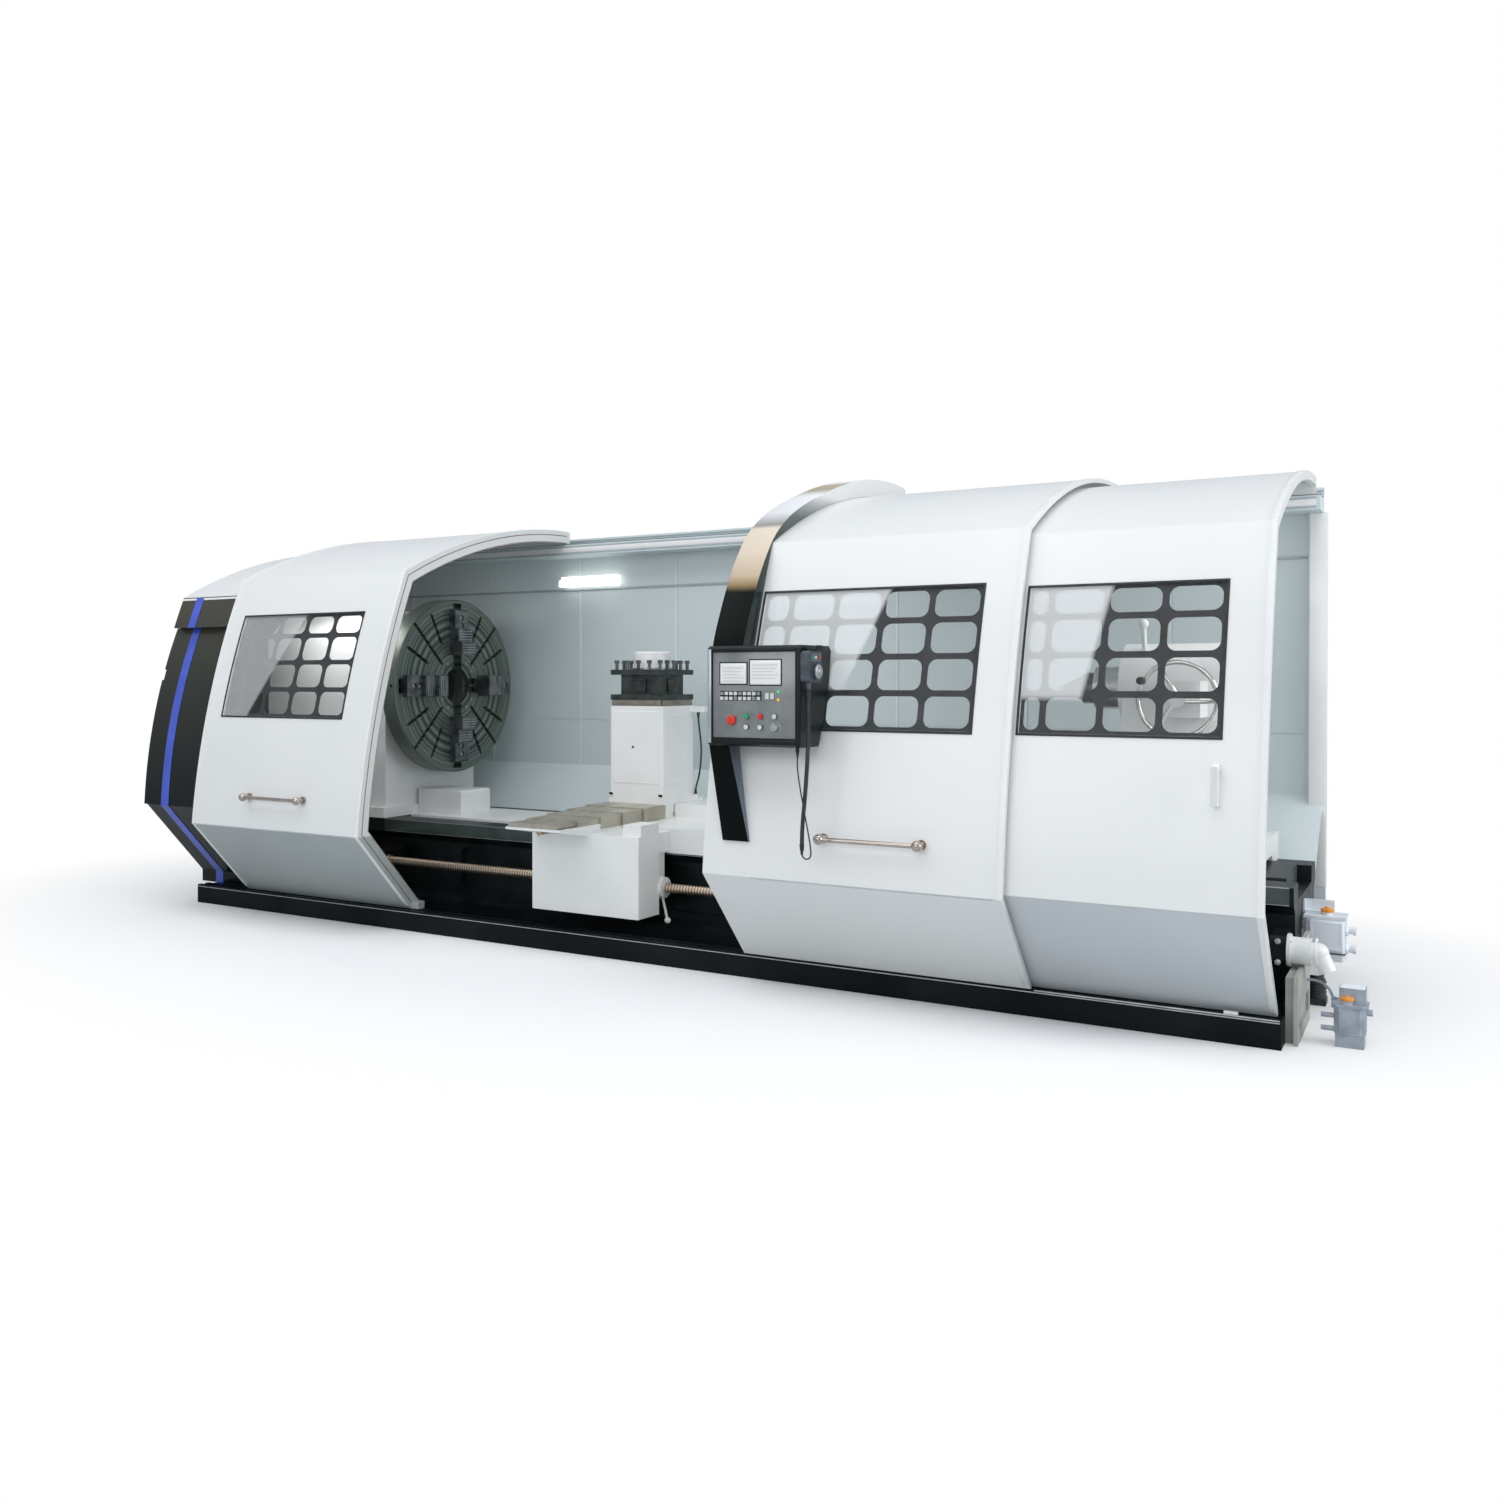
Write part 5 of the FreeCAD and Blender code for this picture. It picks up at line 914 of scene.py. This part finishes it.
def ease(a, b, c, d, part):
    """A place between b and c on the smooth curve through four points."""
    return tuple(0.5 * (2 * q + (r - p) * part + (2 * p - 5 * q + 4 * r - s) * part ** 2
                        + (3 * q - p - 3 * r + s) * part ** 3)
                 for p, q, r, s in zip(a, b, c, d))


def arch_outside():
    """Points up the outside of the arch, from the leg's foot to the back of the roof."""
    start_y = front_y(leg_foot, step_out) - 0.014
    bend_y = front_y(leg_bend, arch_rise)
    points = list(zip(spaced(start_y, bend_y, 6), spaced(leg_foot, leg_bend, 6)))[:-1]
    points += [(front_y(z, arch_rise), z) for z in spaced(leg_bend, leg_split, 5)]
    chain = [(front_y(z, arch_rise), z) for z in (leg_split, 1.74, 1.84)] + crown
    chain = chain[:1] + chain + chain[-1:]
    for number in range(1, len(chain) - 2):
        for step in range(1, 5):
            points.append(ease(*chain[number - 1:number + 3], step / 4))
    return points


def arch_inside(point):
    """The place on the hood's sheet under a point of the arch."""
    corner_z = corner_height(arch_seat)
    corner = (front_y(corner_z, arch_seat), corner_z)
    feet = []
    for (y, z), radius in (front_arc, roof_arc):
        reach = math.hypot(point[0] - y, point[1] - z)
        feet.append((y + (point[0] - y) / reach * (radius + arch_seat),
                     z + (point[1] - z) / reach * (radius + arch_seat)))
    low, high = feet
    if low[1] < corner_z:
        return low
    return high if high[0] > corner[0] else corner


def between(z, marks):
    """A value of x at a height, from the marks (z, x) of a broken line."""
    for (za, xa), (zb, xb) in zip(marks, marks[1:]):
        if z <= zb:
            return xa + (xb - xa) * (z - za) / (zb - za)
    return marks[-1][1]


rows = []
for place in arch_outside():
    under = arch_inside(place)
    a = between(place[1], [(leg_foot, arch_left + 0.115), (leg_bend, arch_left + 0.050),
                           (leg_split, arch_left)])
    b = between(place[1], [(leg_foot, arch_left + 0.265), (leg_bend, arch_left + 0.166),
                           (leg_split, arch_right)])
    rows.append([(a, *place), (b, *place), (b, *under), (a, *under), (a, *place)])
begin()
around = len(rows[0])
bpy.ops.mesh.primitive_grid_add(x_subdivisions=around - 1, y_subdivisions=len(rows) - 1,
                                size=1)
arch = bpy.context.object
for number, vertex in enumerate(arch.data.vertices):
    vertex.co = rows[number // around][number % around]
bpy.ops.object.mode_set(mode="EDIT")
bpy.ops.mesh.select_all(action="SELECT")
bpy.ops.mesh.remove_doubles(threshold=0.00001)
bpy.ops.mesh.select_all(action="DESELECT")
bpy.ops.mesh.select_mode(type="EDGE")
bpy.ops.mesh.select_non_manifold()
bpy.ops.mesh.edge_face_add()
bpy.ops.mesh.select_all(action="SELECT")
bpy.ops.mesh.normals_make_consistent(inside=False)
bpy.ops.object.mode_set(mode="OBJECT")
break_edges(arch, 0.003, 2, 50)
settle(arch, "smooth_arch", arch_black, ("middle_hood", "arch_black"), 40)
arch.data.materials.append(arch_side_reflection)
arch.active_material_index = 1
bpy.ops.object.mode_set(mode="EDIT")
pick_faces(arch, lambda face: face.normal.x > 0.6)
bpy.ops.object.material_slot_assign()
bpy.ops.object.mode_set(mode="OBJECT")
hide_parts("arch_band")
print("arch rows:", len(rows))

# %% [markdown]
# ## Rubber seals round the windows
# The safety glass sits in a black rubber profile.  A grid is laid on the hood's
# front, its inner faces are deleted, and the ring that stays gets a wall.

# %% Seal the windows
for hood, x, z, offset in (("left_hood", (-2.955, -1.830), (1.370, 2.045), 0.0),
                           ("middle_hood", (1.125, 2.293), (1.370, 2.065), step_out),
                           ("right_hood", (2.505, 3.368), (1.370, 2.045), 0.0)):
    seal(hood + "_seal", x, z, 0.011, offset + 0.0015, 0.007, (hood, "grid_black"))
print("seals:", made[-3:])

# %% [markdown]
# ## The control pendant
# The pendant is what the operator looks at all day, so it carries the most small
# parts: a bright edge, framed screens, rows of keys, lamps, rings round the buttons
# and a scale round the override knob.  No key carries any lettering.

# %% The bodies and slots that the small pieces share
def homes(body, *slots):
    """A body paired with each of its slots."""
    return [(body, slot) for slot in slots]


pendant, screens, keys, generator = homes(
    "middle_hood", "pendant_black", "screen_grey", "grey_plastic", "generator_grey")
guard, pumps, fixed_steel, fixed_white, fixed_casting, cap_plastic = homes(
    "machine_frame", "guard_grey", "pump_grey", "ground_steel", "white_paint",
    "casting_white", "red_plastic")

# %% Frame the pendant and its screens
left, right, high, low = 1.044, 1.553, 1.780, 1.287
panel_y = -1.5935
rim = (panel_y - 0.009, panel_y - 0.005)
bar = (panel_y - 0.0085, panel_y - 0.005)


def spot(along, down):
    """A place on the panel from its left and top edges, in millimetres."""
    return left + along / 1000, high - down / 1000


for name, x, y, z, finish in (
        ("left", (left + 0.001, left + 0.022), rim, (low + 0.014, high - 0.016), case_silver),
        ("right", (right - 0.022, right - 0.001), rim, (low + 0.014, high - 0.016), case_black),
        ("top", (left + 0.024, right - 0.024), bar, (high - 0.028, high - 0.015), case_black),
        ("foot", (left + 0.024, right - 0.024), bar, (low + 0.015, low + 0.036), case_black)):
    plate("pendant_%s_edge" % name, x, y, z, finish, pendant, 0.0015)
plate("pendant_face", (left + 0.0275, right - 0.0275), (panel_y, panel_y + 0.002),
      (low + 0.042, high - 0.032), panel_grey, pendant, 0.0008)
for name, a, b in (("first", spot(66, 192), spot(223, 80)),
                   ("second", spot(232, 196), spot(410, 66))):
    plate("screen_frame_" + name, (a[0], b[0]), (panel_y - 0.0025, panel_y), (a[1], b[1]),
          case_black, pendant, 0.0008)
for name, a, b in (("first", spot(72, 186), spot(217, 86)),
                   ("second", spot(238, 190), spot(404, 72))):
    plate("screen_pane_" + name, (a[0] + 0.004, b[0] - 0.004),
          (panel_y - 0.005, panel_y - 0.003), (a[1] + 0.004, b[1] - 0.004), screen_glass,
          screens, 0.0006, forward, 0.008, -0.0006)
    for row in range(5):
        z = b[1] - 0.022 - 0.016 * row
        plate("screen_line_%s_%d" % (name, row),
              (a[0] + 0.014, b[0] - 0.016 - 0.012 * (row % 3)),
              (panel_y - 0.0053, panel_y - 0.0049), (z - 0.003, z), screen_ink, screens, 0.0001)
print("pendant frame:", len(made))

# %% Set the rows of keys
key_list = [(*spot(80 + 25.5 * column, 234 + 24 * row), 0.019, 0.016,
             key_grey if (column + row) % 4 else key_dark)
            for row in range(2) for column in range(9)]
key_list += [(*spot(330 + 28 * column, 246), 0.020, 0.030, key_grey) for column in range(2)]
for number, (x, z, wide, tall, finish) in enumerate(key_list):
    plate("key_%02d" % number, (x - wide / 2, x + wide / 2),
          (panel_y - 0.005, panel_y - 0.002), (z - tall / 2, z + tall / 2), finish, keys, 0.001,
          forward, 0.0018, -0.0006)
for name, along, down, finish, slot in (("green", 392, 226, led_green, "green_plastic"),
                                        ("amber", 392, 264, led_amber, "red_plastic")):
    x, z = spot(along, down)
    turned("lamp_" + name, (x, panel_y - 0.002, z), forward,
           [(0, 0.0085), (0.003, 0.0085), (0.0032, 0.0065), (0.0055, 0.0055), (0.0072, 0.003)],
           finish, ("middle_hood", slot), 20, 0.0003)
print("keys and lamps:", len(key_list))

# %% Ring the buttons and mark the override scale
button_ring, ring_depth, scale_reach = (0.0145, 0.0175, key_dark), 0.0022, 0.0268
for name, along, down, inner, outer, finish in (
        ("stop_collar", 136, 365, 0.0265, 0.0325, key_dark),
        ("start_ring", 220, 345, *button_ring),
        ("halt_ring", 296, 345, *button_ring),
        ("switch_ring", 374, 345, *button_ring),
        ("lower_ring_1", 220, 398, *button_ring),
        ("lower_ring_2", 296, 398, *button_ring),
        ("knob_ring", 374, 398, 0.0195, 0.0215, case_silver)):
    x, z = spot(along, down)
    turned(name, (x, panel_y - 0.0002, z), forward,
           [(0.0, inner), (ring_depth, inner), (ring_depth, outer), (0.0, outer)], finish, keys,
           32, 0.0005, ring=True)
x, z = spot(374, 398)
for mark in range(13):
    turn = math.radians(-120 + 20 * mark)
    reach = Vector((math.sin(turn), 0, math.cos(turn)))
    begin()
    bpy.ops.mesh.primitive_cube_add(
        size=1, location=Vector((x, panel_y - 0.0011, z)) + reach * scale_reach,
        rotation=(0, turn, 0), scale=(0.0016, 0.0012, 0.007))
    piece = bpy.context.object
    bpy.ops.object.transform_apply(location=True, rotation=True, scale=True)
    break_edges(piece, 0.0003, 1)
    settle(piece, "scale_mark_%02d" % mark, trim_white, keys)
for name, along, down in (("switch_cap", 374, 345), ("lower_cap_1", 220, 398),
                          ("lower_cap_2", 296, 398)):
    x, z = spot(along, down)
    turned(name, (x, panel_y - 0.012, z), forward,
           [(0, 0.0118), (0.003, 0.0118), (0.0042, 0.010), (0.0046, 0.006)], key_grey, keys,
           24, 0.0003)
print("panel details:", len(made))

# %% [markdown]
# The pulse generator is a small grey hand box.  It gets a stepped dial and a field
# with three keys.

# %% Finish the pulse generator
turned("generator_dial", (1.6155, -1.530, 1.652), rightward,
       [(0, 0.036), (0.002, 0.0365), (0.003, 0.031), (0.009, 0.030), (0.010, 0.027),
        (0.0085, 0.024), (0.0085, 0.012), (0.013, 0.011), (0.0145, 0.008)], case_silver,
       generator, 48, 0.0004)
plate("generator_field", (1.6005, 1.6022), (-1.586, -1.474), (1.700, 1.741), generator_face,
      generator, 0.0006, rightward, 0.004, -0.0005)
for place, finish in ((-1.566, signal_green), (-1.530, key_grey), (-1.494, signal_red)):
    turned("generator_key_%d" % round(-place * 1000), (1.6018, place, 1.7205), rightward,
           [(0, 0.0085), (0.003, 0.0085), (0.0042, 0.007), (0.0046, 0.004)], finish, keys,
           20, 0.0003)
print("pulse generator:", made[-4:])

# %% [markdown]
# ## Chuck, jaws and spindle
# The chuck's face is one casting, but each jaw is bolted to its carrier by two
# socket screws and has bright ridges across its steps.  Loops go round the four
# quarters.

# %% Bolt and ridge the jaws
jaw_foot_x = -1.993
jaw_half, ridge_half = 0.066, 0.003


def jaw_point(quarter, reach, side=0.0):
    """A place on a jaw's radius, in the jaw's quarter."""
    turn = math.radians(90 * quarter)
    out = Vector((0, -math.sin(turn), math.cos(turn)))
    along = Vector((0, math.cos(turn), math.sin(turn)))
    return Vector((0, 0, spindle_z)) + out * reach + along * side


for quarter in range(4):
    home = ("jaw_%d" % (quarter + 1), "jaw_steel")
    for order, reach in enumerate((0.437, 0.492)):
        at = jaw_point(quarter, reach)
        turned("jaw_bolt_%d_%d" % (quarter + 1, order + 1), (-1.9665, at.y, at.z), rightward,
               [(0, 0.0165), (0.014, 0.0165), (0.0155, 0.0150), (0.0155, 0.0085),
                (0.007, 0.0080)], bright_steel, home, 24, 0.0005)
    for order, (inner, outer, rise) in enumerate(((0.232, 0.305, 0.1183),
                                                  (0.325, 0.402, 0.0853))):
        for line in range(4):
            reach = inner + (outer - inner) * (line + 0.5) / 4
            ends = [jaw_point(quarter, reach, side) for side in (-jaw_half, jaw_half)]
            y, z = ((min(pair) - ridge_half, max(pair) + ridge_half)
                    for pair in ([end.y for end in ends], [end.z for end in ends]))
            plate("jaw_ridge_%d_%d_%d" % (quarter + 1, order, line),
                  (jaw_foot_x + rise, jaw_foot_x + rise + 0.0018), y, z, jaw_edge, home, 0.0007)
print("jaw bolts:", sum(1 for n in made if n.startswith("jaw_bolt")))

# %% Screw the chuck to its back plate and ring its bore
chuck = ("spindle_and_chuck", "chuck_steel")
screw_reach = 0.186
for number in range(8):
    turn = math.radians(90 * (number // 2) + 32 + 26 * (number % 2))
    at = (-1.9932, -screw_reach * math.sin(turn), spindle_z + screw_reach * math.cos(turn))
    turned("chuck_screw_%02d" % number, at, rightward,
           [(0, 0.013), (0.005, 0.013), (0.0065, 0.0115), (0.0065, 0.0068), (0.002, 0.0064)],
           jaw_edge, chuck, 20, 0.0004)
# The bore ring's dark iron stands for painted shade inside the chuck's bore.
turned("chuck_bore_ring", (-1.9935, 0, spindle_z), rightward,
       [(-0.014, 0.1318), (-0.0005, 0.1318), (-0.0005, 0.1306), (-0.003, 0.1286),
        (-0.014, 0.1286)], turret_iron, chuck, 72, 0.0004, ring=True)
turned("headstock_collar", (-2.238, 0, spindle_z), rightward,
       [(0, 0.262), (0.030, 0.262), (0.036, 0.255), (0.036, 0.240), (0.0, 0.236)],
       casting_white, fixed_casting, 64, 0.001, ring=True)
print("chuck pieces:", len(made))

# %% [markdown]
# ## Bed and feed screw
# The front guideway shows a dark painted face under a ground edge.  Bolts with hex
# heads hold the feed screw's brackets.

# %% Edge the guideway and bolt the brackets
way_x = (-2.20, 3.56)
plate("guideway_face", way_x, (-0.5212, -0.5196), (0.558, 0.634), guideway_green,
      ("machine_frame", "black_casting"), 0.0004)
plate("guideway_edge", way_x, (-0.5208, -0.5192), (0.6355, 0.6398), way_light, fixed_steel,
      0.0004)
plate("guideway_foot", way_x, (-0.5218, -0.5196), (0.5545, 0.5572), way_light, fixed_steel,
      0.0004)


def hex_bolt(name, at, axis, size, home, washer=1.35):
    """A hexagon head on its washer: a six-sided disc pushed out from a round one."""
    turned(name + "_washer", at, axis, [(0, size * washer), (size * 0.16, size * washer)],
           bright_steel, home, 24, size * 0.04)
    turned(name, Vector(at) + Vector(axis) * size * 0.16, axis,
           [(0, size), (size * 0.62, size), (size * 0.74, size * 0.86)], bright_steel, home, 6,
           size * 0.04)


for order, x in enumerate((-2.105, 3.530)):
    for side, z in enumerate((0.322, 0.418)):
        hex_bolt("bracket_bolt_%d_%d" % (order, side), (x, -0.6898, z), forward, 0.010,
                 fixed_steel)
print("bed pieces:", len(made))

# %% [markdown]
# ## Carriage, column and turret
# The column is keyed to the slide by dark blocks and closed by thin sheet covers,
# and the square turret rests on a tan plate.

# %% Cover the column and plate the turret
slide_black, slide_casting = homes("tool_slide", "pendant_black", "casting_white")
turret = ("turret", "chuck_steel")
for order, x in enumerate((-0.5735, -0.1865)):
    plate("column_key_%d" % order, (x - 0.0145, x + 0.0145), (-0.0925, -0.0885),
          (0.8515, 0.8665), case_black, slide_black, 0.001)
turned("column_plug", (-0.405, -0.0802, 1.170), forward,
       [(0, 0.008), (0.003, 0.008), (0.004, 0.0065), (0.004, 0.004), (0.002, 0.003)],
       case_black, slide_black, 20, 0.0003)
plate("column_cover", (-0.560, -0.200), (-0.0822, -0.0798), (0.93, 1.405), casting_white,
      slide_casting, 0.0008, forward, 0.008, -0.0008)
plate("column_side_cover", (-0.1728, -0.1703), (-0.05, 0.235), (0.93, 1.385), casting_white,
      slide_casting, 0.0008, rightward, 0.010, -0.0008)
plate("turret_tan_front", (-0.572, -0.188), (-0.0812, -0.0774), (1.4425, 1.4785), tan_plate,
      turret, 0.001)
plate("turret_tan_side", (-0.1864, -0.1826), (-0.072, 0.305), (1.4425, 1.4785), tan_plate,
      turret, 0.001)
for side, (x, y, way) in enumerate((((-0.430, -0.330), (-0.0455, -0.0325), forward),
                                    ((-0.231, -0.218), (0.0665, 0.1665), rightward),
                                    ((-0.542, -0.529), (0.0665, 0.1665), leftward))):
    plate("turret_stop_%d" % side, x, y, (1.53, 1.62), turret_iron, turret, 0.002, way, 0.010,
          -0.003)
turned("turret_cap_ring", (-0.380, 0.1165, 1.6785), up,
       [(0, 0.139), (0.010, 0.139), (0.013, 0.135), (0.013, 0.127), (0, 0.1255)], jaw_edge,
       turret, 48, 0.0006, ring=True)
print("carriage pieces:", len(made))

# %% [markdown]
# ## Tailstock
# The handwheel gets a turned black grip, and the tailstock a clamp cover and a ring
# where the quill comes out.

# %% Dress the tailstock
tail_white, tail_steel = homes("tailstock", "casting_white", "ground_steel")
turned("quill_ring", (2.7205, 0, spindle_z), leftward,
       [(0, 0.190), (0.012, 0.190), (0.016, 0.184), (0.016, 0.124), (0.006, 0.1165),
        (0, 0.1165)], casting_white, tail_white, 64, 0.001, ring=True)
wheel_x, wheel_z, grip_reach, grip_turn = 3.068, 1.517, 0.182, math.radians(150)
turned("wheel_grip", (wheel_x + grip_reach * math.cos(grip_turn), -0.5815,
                      wheel_z + grip_reach * math.sin(grip_turn)), forward,
       [(0, 0.0155), (0.006, 0.019), (0.030, 0.0205), (0.058, 0.019), (0.070, 0.0155),
        (0.0735, 0.009)], case_black, ("tail_handwheel", "pendant_black"), 28, 0.0004)
plate("tailstock_cover", (2.80, 3.28), (-0.336, -0.330), (1.05, 1.20), casting_white,
      tail_white, 0.002)
for order, x in enumerate((2.70, 3.02, 3.34)):
    hex_bolt("tailstock_bolt_%d" % order, (x, -0.5302, 0.715), forward, 0.014, tail_steel)
print("tailstock pieces:", len(made))

# %% [markdown]
# ## The oil and coolant units
# The lubrication tank has a moulded front cover, an orange filler cap and two
# outlet unions.  The small floor pump has the same orange cap.

# %% Add covers and orange caps
box_x, box_y, box_z = (3.595, 3.770), (-0.190, -0.040), (0.250, 0.454)
plate("lube_front", (box_x[0] + 0.020, box_x[1] - 0.004), (box_y[0] - 0.014, box_y[0] + 0.001),
      (box_z[0] + 0.052, box_z[1] - 0.006), pump_pale, pumps, 0.010, forward, 0.006, -0.0015)
plate("lube_belt", (box_x[0] - 0.003, box_x[1] + 0.003), (box_y[0] - 0.0045, box_y[1] + 0.003),
      (box_z[0] + 0.036, box_z[0] + 0.042), motor_dark, pumps, 0.001)
turned("lube_filler_cap", (box_x[0] + 0.095, -0.130, 0.4885), up,
       [(-0.010, 0.0245), (-0.008, 0.0295), (0.006, 0.0295), (0.009, 0.027), (0.0095, 0.012),
        (0.016, 0.011), (0.017, 0.007)], cap_orange, cap_plastic, 18, 0.0008)
for order, z in enumerate((0.310, 0.400)):
    turned("lube_union_%d" % order, (box_x[1] + 0.0005, -0.140, z), rightward,
           [(0, 0.028), (0.008, 0.028), (0.012, 0.024), (0.014, 0.0175), (0.032, 0.0175)],
           pump_pale, pumps, 8, 0.0008)
turned("oil_filler_cap", (3.822, -0.805, 0.2145), up,
       [(-0.006, 0.0225), (-0.004, 0.0275), (0.006, 0.0275), (0.009, 0.025), (0.0095, 0.012),
        (0.014, 0.010), (0.015, 0.006)], cap_orange, cap_plastic, 16, 0.0008)
plate("oil_tank_front", (3.790, 3.870), (-0.8092, -0.8075), (0.070, 0.168), oil_grey, pumps,
      0.0006, forward, 0.004, -0.0006)
plate("oil_block_cover", (3.7915, 3.8885), (-0.788, -0.704), (0.2578, 0.2625), pump_pale,
      pumps, 0.0015, up, 0.008, -0.001)
motor_y, motor_z, bolt_reach = -0.620, 0.370, 0.0695
turned("motor_ring", (3.6805, motor_y, motor_z), rightward,
       [(0, 0.0655), (0.008, 0.0655), (0.0095, 0.0635), (0.0095, 0.058), (0, 0.058)],
       casting_white, fixed_casting, 40, 0.0004, ring=True)
for corner in range(4):
    turn = math.radians(45 + 90 * corner)
    hex_bolt("motor_bolt_%d" % corner,
             (3.5812, motor_y + bolt_reach * math.cos(turn), motor_z + bolt_reach * math.sin(turn)),
             rightward, 0.0045, fixed_steel, 1.2)
print("oil unit pieces:", len(made))

# %% [markdown]
# ## Guard, end cover and base
# The guard's panels meet in pressed seams, drawn as light strips that are a painted
# highlight; the beam carries two grey lines and a pale face, and the end cover has a
# pale roof above its glossy front.

# %% Press the guard's seams and roof the end cover
guard_length, guard_ends, guard_panels = 7.160, 0.224, 8
seam_pitch = (guard_length - guard_ends) / guard_panels
seam_x = -1.567
# Light strips along the panel seams: painted highlight.
for number in range(guard_panels):
    x = seam_x - 2 * seam_pitch + number * seam_pitch
    plate("guard_seam_%d" % number, (x - 0.020, x - 0.005), (0.9578, 0.9605), (0.19, 2.54),
          guard_seam_highlight, guard, 0.0008)
beam_x, line_y, post_z = (-3.40, 3.56), (0.7385, 0.7402), (0.45, 2.545)
for name, x, y, z, finish, edge in (
        ("beam_line_upper", beam_x, line_y, (2.560, 2.572), guard_mid, 0.0006),
        ("beam_line_lower", beam_x, line_y, (2.612, 2.622), guard_mid, 0.0006),
        ("beam_face", beam_x, (0.7378, 0.7402), (2.575, 2.609), trim_white, 0.0008),
        ("end_post_front", (3.515, 3.5995), (0.8972, 0.9003), post_z, trim_white, 0.001),
        ("end_post_side", (3.5992, 3.6022), (0.9003, 0.9590), post_z, trim_white, 0.001),
        ("guard_rail", (-3.40, 3.50), (0.9500, 0.9605), (2.300, 2.316), guard_mid, 0.002)):
    plate(name, x, y, z, finish, guard, edge)


def end_arc(a, b, c, count):
    """Points along the arc through three points of the end cover's outline."""
    (y, z), radius = circle_through(a, b, c)
    turns = spaced(math.atan2(a[1] - z, a[0] - y), math.atan2(c[1] - z, c[0] - y), count)
    return [(y + radius * math.cos(turn), z + radius * math.sin(turn)) for turn in turns]


cover_x = (-3.744, -3.034)
roof = end_arc((-0.984, 2.2065), (-0.476, 2.4425), (0.7397, 2.6572), 24)
lay_grid("end_cover_roof", [[(x, y, z + 0.0015) for x in cover_x] for y, z in roof], 0.003,
         hood_white, fixed_white)
lay_grid("end_cover_edge", [[(x, front_y(z, -0.031), z) for x in cover_x]
                            for z in (2.186, 2.192, 2.2)], 0.003, trim_white, fixed_white)
print("guard pieces:", len(made))

# %% [markdown]
# The base is one long black box, so its top front edge carries a lighter line, a
# painted highlight.  A steel foot rail with a clip lies in front of the right hood,
# and anchor nuts and flush plates keep the rest from looking like a plain slab.

# %% Edge the base and add anchor nuts
# A light line along the base's top front edge: painted highlight.
plate("base_edge_highlight", (-3.575, 3.575), (-1.0015, -0.9985), (0.1145, 0.1192), way_light,
      ("machine_frame", "black_paint"), 0.0006)
plate("foot_rail", (2.500, 3.574), (-0.9985, -0.9880), (0.1212, 0.1300), way_light,
      fixed_steel, 0.0025)
plate("foot_rail_clip", (3.345, 3.405), (-1.0000, -0.9800), (0.1305, 0.1440), trim_white,
      fixed_white, 0.002)
for order, x in enumerate((-2.900, 2.900)):
    for side, y in enumerate((-0.760, 0.760)):
        hex_bolt("anchor_nut_%d_%d" % (order, side), (x, y, 0.0505), up, 0.022, fixed_steel,
                 1.6)
for number in range(guard_panels - 1):
    x = seam_x - 1.5 * seam_pitch + number * seam_pitch
    plate("back_plate_%d" % number, (x - 0.30, x + 0.30), (0.9798, 0.9835), (0.35, 1.05),
          guard_grey, guard, 0.0012, backward, 0.02, -0.0015)
print("pieces made:", len(made))
